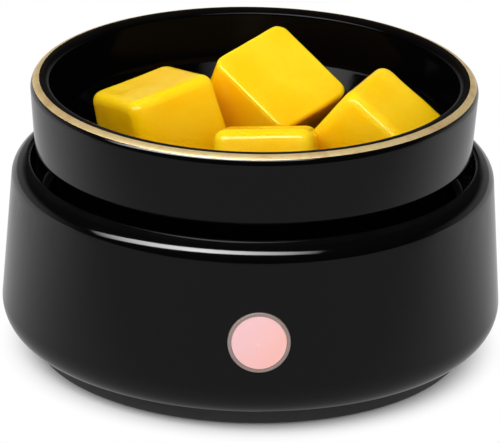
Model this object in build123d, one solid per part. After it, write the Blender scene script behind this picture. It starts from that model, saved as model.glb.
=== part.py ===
from build123d import *
from math import asin, atan, cos, degrees, radians, sin, sqrt, tan
import os

# Wax melt warmer: a glazed ceramic base with a heating plate in its well, a lift-off melt dish
# with a gilt rim, four wax melts in the dish, and a lit push button at the front.
# The origin is the middle of the base on the standing plane, +Z is up and the button faces -Y.

# Fits and cuts
OVERRUN = 2.0
SLIP_GAP = 0.3
SCREW_GAP = 0.05
HOLE_GAP = 0.2
WINDOW_GAP = 0.5
BUTTON_GAP = 0.1

# Base shell
BASE_R = 65.0
BASE_H = 51.45
WALL_LEAN = 4.1
WIDEST_Z = 13.4
SHOULDER_R = 8.5
SHELL_WALL = 5.0
RIM_WIDTH = 4.6
RIM_OUTER_ROUND = 2.4
RIM_INNER_ROUND = 1.6
RIM_BEND_H = 4.6
RIM_BEND_IN = 0.9
RIM_BEND_ROUND = 12.0
WELL_DEPTH = 12.2
WELL_TAPER = 1.2
WELL_ROUND = 3.0
SHELF_THICK = 5.0
REBATE_DEPTH = 2.0
LIP_WIDTH = 7.35
LIP_H = 4.0
LIP_FLARE = 6.0
LIP_ROUND = 0.8
HOLLOW_ROUND = 3.0

# Bottom cover, screws and feet
FOOT_STAND = 0.8
FOOT_R = 5.0
FOOT_THICK = 2.0
FOOT_INSET = 10.4
FOOT_ROUND = 0.5
COVER_STEP = 4.45
COVER_RING_H = 5.3
COVER_FLOOR = 2.4
COVER_WALL = 2.2
COVER_PLUG_H = 4.0
COVER_ROUND = 0.7
COVER_RIB = 1.6
COVER_RIB_H = 3.2
COVER_RIB_RING_R = 24.0
COVER_RIB_COUNT = 8
VENT_W = 2.4
VENT_L = 12.0
VENT_PITCH = 6.0
VENT_COUNT = 4
VENT_OFFSET = 16.5
STUD_INSET = 4.5
STUD_COUNT = 4
STUD_TURN = 45.0
BOSS_R = 4.2
BOSS_TOP_Z = 12.0
SCREW_R = 1.5
SCREW_GRIP = 5.0
SCREW_HEAD_R = 2.8
SCREW_HEAD_H = 1.9
SCREW_SLOT_W = 0.8
SCREW_SLOT_DEPTH = 0.9
SCREW_SINK_DEPTH = 5.2

# Cord gland and cord clamp
GLAND_Z = 21.2
GLAND_BORE_R = 3.3
GLAND_NECK_R = 4.7
GLAND_FLANGE_R = 7.4
GLAND_FLANGE_THICK = 1.2
GLAND_BARB_R = 6.6
GLAND_BARB_THICK = 2.0
GLAND_TAIL_R = 4.4
GLAND_TAIL_L = 3.2
GLAND_RECESS = 1.5
CLAMP_REACH = 10.25
CLAMP_POST_R = 3.0
CLAMP_POST_X = 7.5
CLAMP_POST_TOP_Z = 9.6
CLAMP_BAR_THICK = 2.0
CLAMP_RIDGE = 0.8
CLAMP_SCREW_R = 1.1
CLAMP_SCREW_HEAD_R = 2.1
CLAMP_SCREW_HEAD_H = 1.0
CLAMP_SCREW_L = 5.0

# Heater stack
PLATE_LEDGE = 10.5
PLATE_SEAT_W = 5.0
PLATE_THICK = 2.0
PLATE_ROUND = 0.6
PLATE_GROOVE_W = 1.2
PLATE_GROOVE_DEPTH = 0.3
PLATE_GROOVE_SHARES = (0.35, 0.62)
GASKET_THICK = 0.8
STUD_R = 1.5
STUD_L = 7.4
MICA_EDGE_GAP = 2.5
MICA_THICK = 0.5
RIBBON_THICK = 0.2
RIBBON_SLIT = 1.4
RIBBON_STUD_GAP = 5.0
RIBBON_FIRST_R = 12.0
RIBBON_TURNS = 6
RIBBON_BREAK = 26.0
CLAMP_PLATE_THICK = 1.2
BLADE_W = 4.0
BLADE_THICK = 0.8
BLADE_L = 8.6

# Standoffs and heat shield
HEX_ACROSS = 5.5
UPPER_STANDOFF_L = 8.0
SHIELD_EDGE_GAP = 1.5
SHIELD_THICK = 0.8
SHIELD_BEAD_R = 22.0
SHIELD_BEAD_W = 1.6
SHIELD_BEAD_H = 0.6
STANDOFF_TAIL_L = 4.4

# Thermal cut-out
CUTOUT_R = 7.7
CUTOUT_CAP_R = 8.4
CUTOUT_CAP_H = 1.0
CUTOUT_H = 9.0
CUTOUT_BLADE_L = 6.0
CUTOUT_BLADE_W = 5.0
CUTOUT_BLADE_X = 4.5
CLIP_R = 10.2
CLIP_THICK = 0.8
CLIP_SCREW_X = 12.0
CLIP_EAR_R = 3.0
CLIP_SCREW_R = 1.1
CLIP_HEAD_R = 2.0
CLIP_HEAD_H = 1.2

# Control board and what is on it
BOARD_X = 39.0
BOARD_FRONT_Y = -28.0
BOARD_BACK_Y = 32.0
BOARD_THICK = 1.6
BOARD_Z = 9.0
BOARD_CORNER_R = 2.0
BOARD_POST_R = 2.6
BOARD_EDGE = 4.2
BOARD_SCREW_R = 1.1
BOARD_SCREW_HEAD_R = 2.0
BOARD_SCREW_HEAD_H = 1.4
BOARD_SCREW_L = 5.0
PART_ROUND = 0.5
RELAY_SIZE = (11.0, 19.0, 13.5)
RELAY_AT = (-12.5, 15.0)
FILM_SIZE = (13.0, 6.0, 10.0)
FILM_AT = (12.2, 19.4)
FILM_ROUND = 0.4
STORE_R = 4.0
STORE_H = 11.0
STORE_AT = (12.0, -13.5)
STORE_CROSS = 0.4
STORE_GROOVE_SHARE = 0.2
STORE_GROOVE_DEPTH = 0.3
CHIP_SIZE = (10.0, 6.4, 3.2)
CHIP_AT = (-3.0, -15.0)
CHIP_LEG_W = 1.0
CHIP_LEG_OUT = 0.9
CHIP_LEG_THICK = 0.4
CHIP_LEG_COUNT = 4
FUSE_R = 2.5
FUSE_L = 15.0
FUSE_CAP_L = 3.2
FUSE_CAP_SKIN = 0.3
FUSE_AT = (-14.0, -3.5)
BLOCK_SIZE = (9.0, 17.0, 9.0)
BLOCK_AT = (14.0, 3.0)
BLOCK_WAYS = 3
BLOCK_SCREW_R = 1.6
BLOCK_SCREW_DEPTH = 1.0
SOCKET_SIZE = (10.0, 5.0, 6.0)
SOCKET_WALL = 0.8

# Button, measured inwards from the bezel's face along the wall's normal
BUTTON_Z = 26.4
BEZEL_R = 7.9
BEZEL_PROUD = 0.2
BEZEL_LIP_R = 7.0
BEZEL_LIP = 1.6
BEZEL_ROUND = 0.3
HOLDER_WALL = 0.55
HOLDER_FLANGE_X = 28.0
HOLDER_FLANGE_H = 15.2
HOLDER_FLANGE_THICK = 1.6
HOLDER_POST_X = 11.2
HOLDER_POST_R = 2.2
HOLDER_POST_L = 1.6
CAP_DOME = 0.45
CAP_EDGE_SINK = 0.1
CAP_SKIN = 1.9
CAP_FLANGE_GAP = 0.15
CAP_FLANGE_THICK = 1.2
CAP_STEM_R = 1.5
CAP_STEM_L = 2.2
BUTTON_TRAVEL = 0.6
PLUNGER_R = 1.75
PLUNGER_L = 1.5
SWITCH_SIZE = 6.0
SWITCH_H = 3.4
SWITCH_FRAME = 0.3
BUTTON_BOARD_THICK = 1.2
LAMP_R = 1.4
LAMP_OFFSET = 5.1
LAMP_H = 2.6
BUTTON_SCREW_R = 0.95
BUTTON_SCREW_L = 2.2
BUTTON_SCREW_HEAD_R = 1.8
BUTTON_SCREW_HEAD_H = 1.1

# Leads
LEAD_R = 0.9
LEAD_BEND_R = 2.4
LEAD_DROP_Z = 16.0
LEAD_ENTRY_Z = 14.5
LINK_LOW_Z = 15.2
RIBBON_LEAD_R = 1.2
RIBBON_LEAD_OFFSET = 4.6
RIBBON_LEAD_RUN = 7.0

# Melt dish and its gilt rim
DISH_OVERHANG = 6.17
DISH_H = 33.25
DISH_WALL_TAPER = 1.4
DISH_RIM_WIDTH = 5.1
DISH_RIM_OUTER_ROUND = 1.3
DISH_RIM_INNER_ROUND = 1.7
DISH_LEDGE_H = 13.7
DISH_CORNER_ROUND = 4.2
SPIGOT_GAP = 4.8
SPIGOT_TAPER = 1.1
SPIGOT_ROUND = 3.0
DISH_WALL = 4.2
DISH_FLOOR = 3.2
DISH_STEP_ROUND = 4.0
DISH_FLOOR_ROUND = 3.6
DISH_FOOT_INSET = 6.0
DISH_FOOT_W = 4.0
DISH_FOOT_H = 1.2
DISH_FOOT_ROUND = 0.5
GILT_TOP = 1.5
GILT_SIDE = 1.3
GILT_THICK = 0.4

# Wax melts: each one's place as a share of the dish's floor radius, and how it lies in degrees
WAX_BIG = 27.1
WAX_SMALL = 24.8
WAX_H = 21.0
WAX_UPRIGHT_ROUND = 3.4
WAX_TOP_ROUND = 2.6
WAX_EDGE_ROUND = 0.8
WAX_SEAT = 0.3
WAX_PLACE_SHARES = {
    "left": (-0.522, 0.099),
    "back": (0.100, 0.372),
    "right": (0.690, -0.191),
    "front": (0.050, -0.629),
}
WAX_TILTS = {
    "left": (-4.8, -14.2, 28.6),
    "back": (-151.6, -17.7, -45.2),
    "right": (17.4, 30.8, -30.3),
    "front": (-18.4, -1.3, -5.8),
}

# Heights worked out from the sizes above
SHELL_BOTTOM_Z = FOOT_STAND + COVER_RING_H
WELL_Z = BASE_H - WELL_DEPTH
SHELF_UNDER_Z = WELL_Z - SHELF_THICK
GASKET_Z = WELL_Z - REBATE_DEPTH
PLATE_Z = GASKET_Z + GASKET_THICK
PLATE_TOP_Z = PLATE_Z + PLATE_THICK
RIBBON_Z = PLATE_Z - MICA_THICK - RIBBON_THICK
LOWER_MICA_Z = RIBBON_Z - MICA_THICK
CLAMP_PLATE_Z = LOWER_MICA_Z - CLAMP_PLATE_THICK
SHIELD_TOP_Z = CLAMP_PLATE_Z - UPPER_STANDOFF_L
SHIELD_Z = SHIELD_TOP_Z - SHIELD_THICK
COVER_FLOOR_Z = FOOT_STAND + COVER_FLOOR
BOARD_TOP_Z = BOARD_Z + BOARD_THICK
DISH_TOP_Z = PLATE_TOP_Z + DISH_H
DISH_LEDGE_Z = PLATE_TOP_Z + DISH_LEDGE_H
DISH_UNDER_Z = PLATE_TOP_Z + DISH_FOOT_H
DISH_FLOOR_Z = DISH_UNDER_Z + DISH_FLOOR


def slope_r(z):
    """Radius of the base's leaning outer wall at a height above its widest line."""
    lean = radians(WALL_LEAN)
    start_r = BASE_R - SHOULDER_R + SHOULDER_R * cos(lean)
    start_z = WIDEST_Z + SHOULDER_R * sin(lean)
    return start_r - (z - start_z) * tan(lean)


def hollow_r(z):
    """Radius of the base's hollow behind the leaning wall."""
    return slope_r(z) - SHELL_WALL / cos(radians(WALL_LEAN))


def shell_low_r():
    """Radius of the base's outer wall where it ends at the foot's lip."""
    drop = asin((WIDEST_Z - SHELL_BOTTOM_Z) / SHOULDER_R)
    return BASE_R - SHOULDER_R + SHOULDER_R * cos(drop)


# Radii and places worked out from the sizes above
WELL_LOW_R = slope_r(BASE_H) - RIM_WIDTH - WELL_TAPER
PLATE_R = WELL_LOW_R - PLATE_LEDGE
SHELF_HOLE_R = PLATE_R - PLATE_SEAT_W
MICA_R = SHELF_HOLE_R - MICA_EDGE_GAP
SHIELD_R = SHELF_HOLE_R - SHIELD_EDGE_GAP
STUD_CIRCLE_R = MICA_R - STUD_INSET
RIBBON_PITCH = (STUD_CIRCLE_R - RIBBON_STUD_GAP - RIBBON_FIRST_R) / (RIBBON_TURNS - 1)
RIBBON_W = RIBBON_PITCH - RIBBON_SLIT
LIP_R = shell_low_r() - LIP_WIDTH
COVER_R = shell_low_r() - COVER_STEP
FOOT_CIRCLE_R = COVER_R - FOOT_INSET
VENT_X = BOARD_X / 2 + VENT_OFFSET
GLAND_TAIL_Y = slope_r(GLAND_Z) - SHELL_WALL - GLAND_BARB_THICK - GLAND_TAIL_L
CLAMP_Y = GLAND_TAIL_Y - CLAMP_REACH
SPIGOT_R = WELL_LOW_R - SPIGOT_GAP
DISH_R = SPIGOT_R + DISH_OVERHANG
DISH_FOOT_R = PLATE_R - DISH_FOOT_INSET


def turned(sketch):
    """Revolve a half section, drawn with the radius along X and the height along Y."""
    return revolve(Plane.XZ * sketch, axis=Axis.Z)


def outline(*points):
    """Closed straight-sided section through the points."""
    return make_face(Polyline(*points, close=True))


def rounded(sketch, corners, radius):
    """Round the section's corners that lie nearest to the given points."""
    picked = [sketch.vertices().sort_by_distance((*corner, 0))[0] for corner in corners]
    return fillet(picked, radius)


def disc(radius, z, height):
    """Upright cylinder standing on a height."""
    return Pos(0, 0, z) * extrude(Circle(radius), height)


def block(size, place, z):
    """Upright block with rounded upright edges, centred on a place and standing on a height."""
    length, width, height = size
    body = extrude(RectangleRounded(length, width, PART_ROUND), height)
    return Pos(*place, z) * body


def around(piece, radius):
    """Four copies of a piece, evenly spaced on a circle about the Z axis."""
    places = PolarLocations(radius, STUD_COUNT, start_angle=STUD_TURN)
    return [place * piece for place in places]


def pan_head_screw(shank_r, shank_l, head_r, head_h):
    """Screw with its shank up from the origin, its pan head below, and a cross slot."""
    profile = outline(
        (0, -head_h),
        (head_r, -head_h),
        (head_r, 0),
        (shank_r, 0),
        (shank_r, shank_l),
        (0, shank_l),
    )
    screw = turned(rounded(profile, [(head_r, -head_h)], head_h / 2))
    slot = Box(head_r, SCREW_SLOT_W, SCREW_SLOT_DEPTH * 2)
    return screw - Pos(0, 0, -head_h) * (slot + Rot(0, 0, 90) * slot)


# Base shell
def shell_outside():
    """Section of the base's outside, from the foot's lip to the rim's crown and down the well."""
    lean = radians(WALL_LEAN)
    centre = Vector(BASE_R - SHOULDER_R, WIDEST_Z)
    low = Vector(shell_low_r(), SHELL_BOTTOM_Z)
    widest = centre + Vector(SHOULDER_R, 0)
    high = centre + Vector(cos(lean), sin(lean)) * SHOULDER_R
    rim_r = slope_r(BASE_H)
    bend_z = BASE_H - RIM_BEND_H
    bend = (slope_r(bend_z), bend_z)
    crown = (rim_r - RIM_BEND_IN, BASE_H)
    well_top_r = rim_r - RIM_WIDTH
    edge = [
        Line((0, SHELL_BOTTOM_Z), low),
        ThreePointArc(low, widest, high),
        Line(high, bend),
        Line(bend, crown),
        Line(crown, (well_top_r, BASE_H)),
        Line((well_top_r, BASE_H), (WELL_LOW_R, WELL_Z)),
        Line((WELL_LOW_R, WELL_Z), (0, WELL_Z)),
        Line((0, WELL_Z), (0, SHELL_BOTTOM_Z)),
    ]
    section = make_face(edge)
    section = rounded(section, [bend], RIM_BEND_ROUND)
    section = rounded(section, [crown], RIM_OUTER_ROUND)
    section = rounded(section, [(well_top_r, BASE_H)], RIM_INNER_ROUND)
    section = rounded(section, [(WELL_LOW_R, WELL_Z)], WELL_ROUND)
    return rounded(section, [(low.X, low.Y)], LIP_ROUND)


def shell_hollow():
    """Section of the space inside the base, below the well's shelf."""
    lip_top = SHELL_BOTTOM_Z + LIP_H
    flare_top = lip_top + LIP_FLARE
    section = outline(
        (0, SHELL_BOTTOM_Z - OVERRUN),
        (LIP_R, SHELL_BOTTOM_Z - OVERRUN),
        (LIP_R, lip_top),
        (hollow_r(flare_top), flare_top),
        (hollow_r(SHELF_UNDER_Z), SHELF_UNDER_Z),
        (0, SHELF_UNDER_Z),
    )
    section = rounded(section, [(hollow_r(SHELF_UNDER_Z), SHELF_UNDER_Z)], HOLLOW_ROUND)
    return rounded(section, [(hollow_r(flare_top), flare_top)], HOLLOW_ROUND)


def base_shell():
    """Glazed shell with its well, plate seat, button hole and gland hole."""
    shell = turned(shell_outside()) - turned(shell_hollow())
    shell -= disc(SHELF_HOLE_R, SHELF_UNDER_Z - OVERRUN, SHELF_THICK + OVERRUN * 2)
    shell -= disc(PLATE_R + WINDOW_GAP, GASKET_Z, REBATE_DEPTH + OVERRUN)
    shell -= gland_seat()
    return shell - button_seat()


# Cord gland at the back
def gland_planes():
    """Distances from the axis of the gland's outer seat and inner seat."""
    wall = slope_r(GLAND_Z)
    return wall - GLAND_RECESS, wall - SHELL_WALL


def gland_seat():
    """Recess, hole and inner spot face for the gland."""
    outer, inner = gland_planes()
    back = Plane(origin=(0, 0, GLAND_Z), x_dir=(1, 0, 0), z_dir=(0, 1, 0))
    recess = extrude(back.offset(outer) * Circle(GLAND_FLANGE_R + SLIP_GAP), GLAND_RECESS + OVERRUN)
    hole = extrude(back.offset(inner - OVERRUN) * Circle(GLAND_NECK_R + HOLE_GAP), SHELL_WALL + OVERRUN)
    spot_face = extrude(back.offset(inner) * Circle(GLAND_BARB_R + SLIP_GAP), -GLAND_BARB_THICK)
    return recess + hole + spot_face


def cord_gland():
    """Rubber grommet that is pushed into the back wall, with the cord's bore through it."""
    outer, inner = gland_planes()
    face = outer + GLAND_FLANGE_THICK
    barb_end = inner - GLAND_BARB_THICK
    tail_end = barb_end - GLAND_TAIL_L
    section = outline(
        (GLAND_BORE_R, tail_end),
        (GLAND_TAIL_R, tail_end),
        (GLAND_TAIL_R, barb_end),
        (GLAND_BARB_R, inner),
        (GLAND_NECK_R, inner),
        (GLAND_NECK_R, outer),
        (GLAND_FLANGE_R, outer),
        (GLAND_FLANGE_R, face),
        (GLAND_BORE_R, face),
    )
    section = rounded(section, [(GLAND_FLANGE_R, face)], GLAND_FLANGE_THICK / 2)
    return Pos(0, 0, GLAND_Z) * Rot(-90, 0, 0) * turned(section)


def clamp_places():
    """The two screw places of the cord clamp."""
    return [Pos(side * CLAMP_POST_X, CLAMP_Y, 0) for side in (-1, 1)]


def cord_clamp():
    """Bar that holds the cord down between its two posts, with a ridge that grips it."""
    bar = extrude(SlotCenterToCenter(CLAMP_POST_X * 2, CLAMP_POST_R * 2), CLAMP_BAR_THICK)
    ridge_l = CLAMP_POST_X * 2 - CLAMP_POST_R * 2
    ridge = Box(ridge_l, COVER_RIB, CLAMP_RIDGE, align=(Align.CENTER, Align.CENTER, Align.MAX))
    bar = Pos(0, CLAMP_Y, CLAMP_POST_TOP_Z) * (bar + ridge)
    hole_l = CLAMP_BAR_THICK + OVERRUN * 2
    hole = disc(CLAMP_SCREW_R + HOLE_GAP, CLAMP_POST_TOP_Z - OVERRUN, hole_l)
    return bar - [place * hole for place in clamp_places()]


def clamp_screws():
    """Two screws that hold the cord clamp."""
    screw = pan_head_screw(CLAMP_SCREW_R, CLAMP_SCREW_L, CLAMP_SCREW_HEAD_R, CLAMP_SCREW_HEAD_H)
    top = CLAMP_POST_TOP_Z + CLAMP_BAR_THICK
    return [place * Pos(0, 0, top) * Rot(180, 0, 0) * screw for place in clamp_places()]


# Bottom cover
def cover_body():
    """Turned part of the cover: floor, plug wall and the foot ring below the shell."""
    ring_in_r = COVER_R - COVER_WALL
    plug_r = LIP_R - SLIP_GAP
    plug_in_r = plug_r - COVER_WALL
    plug_top = SHELL_BOTTOM_Z + COVER_PLUG_H
    groove_top = SHELL_BOTTOM_Z - COVER_WALL
    groove_in_r = plug_in_r + COVER_WALL / 2
    section = outline(
        (0, FOOT_STAND),
        (groove_in_r, FOOT_STAND),
        (groove_in_r, groove_top),
        (ring_in_r, groove_top),
        (ring_in_r, FOOT_STAND),
        (COVER_R, FOOT_STAND),
        (COVER_R, SHELL_BOTTOM_Z),
        (plug_r, SHELL_BOTTOM_Z),
        (plug_r, plug_top),
        (plug_in_r, plug_top),
        (plug_in_r, COVER_FLOOR_Z),
        (0, COVER_FLOOR_Z),
    )
    section = rounded(section, [(COVER_R, FOOT_STAND)], COVER_ROUND)
    return turned(rounded(section, [(COVER_R, SHELL_BOTTOM_Z)], COVER_ROUND))


def cover_ribs():
    """Spokes and a ring on the cover's floor."""
    reach = LIP_R - SLIP_GAP - COVER_WALL / 2
    spoke = Box(reach, COVER_RIB, COVER_RIB_H, align=(Align.MIN, Align.CENTER, Align.MIN))
    turns = PolarLocations(0, COVER_RIB_COUNT)
    ribs = [turn * Pos(0, 0, COVER_FLOOR_Z) * spoke for turn in turns]
    ring = Circle(COVER_RIB_RING_R + COVER_RIB / 2) - Circle(COVER_RIB_RING_R - COVER_RIB / 2)
    ribs.append(Pos(0, 0, COVER_FLOOR_Z) * extrude(ring, COVER_RIB_H))
    return ribs


def board_holes():
    """The four screw places of the control board."""
    x = BOARD_X / 2 - BOARD_EDGE
    ys = (BOARD_FRONT_Y + BOARD_EDGE, BOARD_BACK_Y - BOARD_EDGE)
    return [Pos(side * x, y, 0) for side in (-1, 1) for y in ys]


def vent_slots():
    """Slots through the floor, in a row at each side of the board."""
    slot = extrude(SlotOverall(VENT_L, VENT_W), COVER_FLOOR + OVERRUN * 2)
    rows = []
    for side in (-1, 1):
        for row in range(VENT_COUNT):
            y = (row - (VENT_COUNT - 1) / 2) * VENT_PITCH
            y += VENT_PITCH / 2 * (1 if y > 0 else -1)
            rows.append(Pos(side * VENT_X, y, FOOT_STAND - OVERRUN) * slot)
    return rows


def bottom_cover():
    """Moulded cover that closes the shell and carries the board, the clamp, the screws and the feet."""
    cover = cover_body() + cover_ribs()
    cover += around(disc(BOSS_R, COVER_FLOOR_Z, BOSS_TOP_Z - COVER_FLOOR_Z), STUD_CIRCLE_R)
    cover += [hole * disc(BOARD_POST_R, COVER_FLOOR_Z, BOARD_Z - COVER_FLOOR_Z) for hole in board_holes()]
    post_h = CLAMP_POST_TOP_Z - COVER_FLOOR_Z
    cover += [place * disc(CLAMP_POST_R, COVER_FLOOR_Z, post_h) for place in clamp_places()]
    sink = disc(SCREW_HEAD_R + SLIP_GAP, FOOT_STAND - OVERRUN, SCREW_SINK_DEPTH + OVERRUN)
    shank = disc(SCREW_R + HOLE_GAP, FOOT_STAND, BOSS_TOP_Z)
    cover -= around(sink + shank, STUD_CIRCLE_R)
    hole_l = BOARD_SCREW_L - BOARD_THICK + SLIP_GAP
    hole = disc(BOARD_SCREW_R + SCREW_GAP, BOARD_Z - hole_l, hole_l + OVERRUN)
    cover -= [place * hole for place in board_holes()]
    hole_l = CLAMP_SCREW_L - CLAMP_BAR_THICK + SLIP_GAP
    hole = disc(CLAMP_SCREW_R + SCREW_GAP, CLAMP_POST_TOP_Z - hole_l, hole_l + OVERRUN)
    cover -= [place * hole for place in clamp_places()]
    cover -= vent_slots()
    pocket = disc(FOOT_R + HOLE_GAP, FOOT_STAND - OVERRUN, FOOT_THICK - FOOT_STAND + OVERRUN)
    return cover - around(pocket, FOOT_CIRCLE_R)


def cover_screws():
    """Four screws, up through the cover's bosses into the lower standoffs."""
    shank_l = BOSS_TOP_Z - FOOT_STAND - SCREW_SINK_DEPTH + SCREW_GRIP
    screw = pan_head_screw(SCREW_R, shank_l, SCREW_HEAD_R, SCREW_HEAD_H)
    return around(Pos(0, 0, FOOT_STAND + SCREW_SINK_DEPTH) * screw, STUD_CIRCLE_R)


def rubber_feet():
    """Four feet, stuck in the cover's shallow pockets."""
    section = outline((0, 0), (FOOT_R, 0), (FOOT_R, FOOT_THICK), (0, FOOT_THICK))
    foot = turned(rounded(section, [(FOOT_R, 0)], FOOT_ROUND))
    return around(foot, FOOT_CIRCLE_R)


# Heater stack under the well
def stud_holes(z, height):
    """Clearance holes for the plate's studs."""
    return around(disc(STUD_R + HOLE_GAP, z - OVERRUN, height + OVERRUN * 2), STUD_CIRCLE_R)


def ribbon_r(turn):
    """Middle radius of one turn of the heater ribbon."""
    return RIBBON_FIRST_R + turn * RIBBON_PITCH


def blade_spots():
    """The two places where the heater's blades meet the ends of its ribbon."""
    spots = []
    for side, turn in ((-1, 0), (1, RIBBON_TURNS - 1)):
        angle = radians(RIBBON_BREAK / 2)
        inset = BLADE_W / 2
        r = ribbon_r(turn)
        spots.append((side * (r * sin(angle) + inset), sqrt(r * r - (r * sin(angle) + inset) ** 2)))
    return spots


def blade_windows(z, height):
    """Windows that the heater's blades pass through."""
    window = Box(BLADE_W + WINDOW_GAP, BLADE_THICK + WINDOW_GAP, height + OVERRUN * 2)
    return [Pos(*spot, z + height / 2) * window for spot in blade_spots()]


def heating_plate():
    """Metal plate that the dish stands on, with two turned grooves and four studs below."""
    section = outline((0, PLATE_Z), (PLATE_R, PLATE_Z), (PLATE_R, PLATE_TOP_Z), (0, PLATE_TOP_Z))
    plate = turned(rounded(section, [(PLATE_R, PLATE_TOP_Z)], PLATE_ROUND))
    for share in PLATE_GROOVE_SHARES:
        r = PLATE_R * share
        groove = Circle(r + PLATE_GROOVE_W / 2) - Circle(r - PLATE_GROOVE_W / 2)
        plate -= Pos(0, 0, PLATE_TOP_Z - PLATE_GROOVE_DEPTH) * extrude(groove, PLATE_GROOVE_DEPTH + OVERRUN)
    return plate + around(disc(STUD_R, PLATE_Z - STUD_L, STUD_L), STUD_CIRCLE_R)


def plate_gasket():
    """Heat-proof ring between the plate and the ceramic seat."""
    ring = Circle(PLATE_R) - Circle(SHELF_HOLE_R)
    return Pos(0, 0, GASKET_Z) * extrude(ring, GASKET_THICK)


def mica_sheet_upper():
    """Insulating disc between the plate and the heater ribbon."""
    z = RIBBON_Z + RIBBON_THICK
    return disc(MICA_R, z, MICA_THICK) - stud_holes(z, MICA_THICK)


def mica_sheet_lower():
    """Insulating disc below the heater ribbon, with windows for the blades."""
    sheet = disc(MICA_R, LOWER_MICA_Z, MICA_THICK) - stud_holes(LOWER_MICA_Z, MICA_THICK)
    return sheet - blade_windows(LOWER_MICA_Z, MICA_THICK)


def heater_ribbon():
    """Flat resistance track: broken rings joined at alternate ends into one meander."""
    track = Sketch()
    last_r = ribbon_r(RIBBON_TURNS)
    half_gap = last_r * tan(radians(RIBBON_BREAK / 2))
    wedge = outline((0, 0), (half_gap, last_r), (-half_gap, last_r))
    for turn in range(RIBBON_TURNS):
        r = ribbon_r(turn)
        track += Circle(r + RIBBON_W / 2) - Circle(r - RIBBON_W / 2) - wedge
    for turn in range(RIBBON_TURNS - 1):
        side = 1 if turn % 2 == 0 else -1
        angle = side * RIBBON_BREAK / 2
        link_r = (ribbon_r(turn) + ribbon_r(turn + 1)) / 2
        link = Rectangle(RIBBON_W, RIBBON_PITCH)
        track += Rot(0, 0, -angle) * Pos(side * RIBBON_W / 2, link_r) * link
    return Pos(0, 0, RIBBON_Z) * extrude(track, RIBBON_THICK)


def heater_blades():
    """Two contact blades, down from the ends of the ribbon."""
    blade = Box(BLADE_W, BLADE_THICK, BLADE_L, align=(Align.CENTER, Align.CENTER, Align.MAX))
    return [Pos(*spot, RIBBON_Z) * blade for spot in blade_spots()]


def clip_screw_places():
    """The two screw places of the cut-out's clip."""
    return [Pos(side * CLIP_SCREW_X, 0, 0) for side in (-1, 1)]


def clamp_plate():
    """Steel plate that presses the heater flat against the heating plate."""
    plate = disc(MICA_R, CLAMP_PLATE_Z, CLAMP_PLATE_THICK) - stud_holes(CLAMP_PLATE_Z, CLAMP_PLATE_THICK)
    plate -= blade_windows(CLAMP_PLATE_Z, CLAMP_PLATE_THICK)
    tapped = disc(CLIP_SCREW_R + SCREW_GAP, CLAMP_PLATE_Z - OVERRUN, CLAMP_PLATE_THICK + OVERRUN)
    return plate - [place * tapped for place in clip_screw_places()]


def hexagon():
    """Section of a standoff across its flats."""
    return RegularPolygon(HEX_ACROSS / 2, 6, major_radius=False)


def upper_standoffs():
    """Four hexagon nuts with a threaded tail, which clamp the heater and carry the shield."""
    body = Pos(0, 0, SHIELD_TOP_Z) * extrude(hexagon(), UPPER_STANDOFF_L)
    stud_end = PLATE_Z - STUD_L
    body -= disc(STUD_R + SCREW_GAP, stud_end - SLIP_GAP, STUD_L + OVERRUN)
    tail_l = SHIELD_THICK + STANDOFF_TAIL_L
    return around(body + disc(STUD_R, SHIELD_TOP_Z - tail_l, tail_l), STUD_CIRCLE_R)


def heat_shield():
    """Disc that keeps the heat off the board, with a stiffening bead and holes for what passes."""
    shield = disc(SHIELD_R, SHIELD_Z, SHIELD_THICK) - stud_holes(SHIELD_Z, SHIELD_THICK)
    bead = Circle(SHIELD_BEAD_R + SHIELD_BEAD_W / 2) - Circle(SHIELD_BEAD_R - SHIELD_BEAD_W / 2)
    shield += Pos(0, 0, SHIELD_TOP_Z) * extrude(bead, SHIELD_BEAD_H)
    shield -= disc(CUTOUT_R + WINDOW_GAP, SHIELD_Z - OVERRUN, SHIELD_THICK + OVERRUN * 2)
    lead_hole = disc(LEAD_R + WINDOW_GAP, SHIELD_Z - OVERRUN, SHIELD_THICK + OVERRUN * 2)
    return shield - [Pos(*spot, 0) * lead_hole for spot in blade_spots()]


def lower_standoffs():
    """Four hexagon posts between the shield and the cover's bosses."""
    length = SHIELD_Z - BOSS_TOP_Z
    post = Pos(0, 0, BOSS_TOP_Z) * extrude(hexagon(), length)
    top_hole_l = STANDOFF_TAIL_L + SLIP_GAP
    post -= disc(STUD_R + SCREW_GAP, SHIELD_Z - top_hole_l, top_hole_l + OVERRUN)
    post -= disc(SCREW_R + SCREW_GAP, BOSS_TOP_Z - OVERRUN, SCREW_GRIP + SLIP_GAP + OVERRUN)
    return around(post, STUD_CIRCLE_R)


def thermal_cutout():
    """Round cut-out against the clamp plate, with its two blades below."""
    body = disc(CUTOUT_CAP_R, CLAMP_PLATE_Z - CUTOUT_CAP_H, CUTOUT_CAP_H)
    body += disc(CUTOUT_R, CLAMP_PLATE_Z - CUTOUT_H, CUTOUT_H)
    blade = Box(BLADE_THICK, CUTOUT_BLADE_W, CUTOUT_BLADE_L, align=(Align.CENTER, Align.CENTER, Align.MAX))
    for side in (-1, 1):
        body += Pos(side * CUTOUT_BLADE_X, 0, CLAMP_PLATE_Z - CUTOUT_H) * blade
    return body


def cutout_clip():
    """Ring with two ears that presses the cut-out's cap against the clamp plate."""
    top = CLAMP_PLATE_Z - CUTOUT_CAP_H
    ring = Circle(CLIP_R) + SlotCenterToCenter(CLIP_SCREW_X * 2, CLIP_EAR_R * 2)
    ring -= Circle(CUTOUT_R + HOLE_GAP)
    ring -= [place * Circle(CLIP_SCREW_R + HOLE_GAP) for place in clip_screw_places()]
    return Pos(0, 0, top - CLIP_THICK) * extrude(ring, CLIP_THICK)


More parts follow.
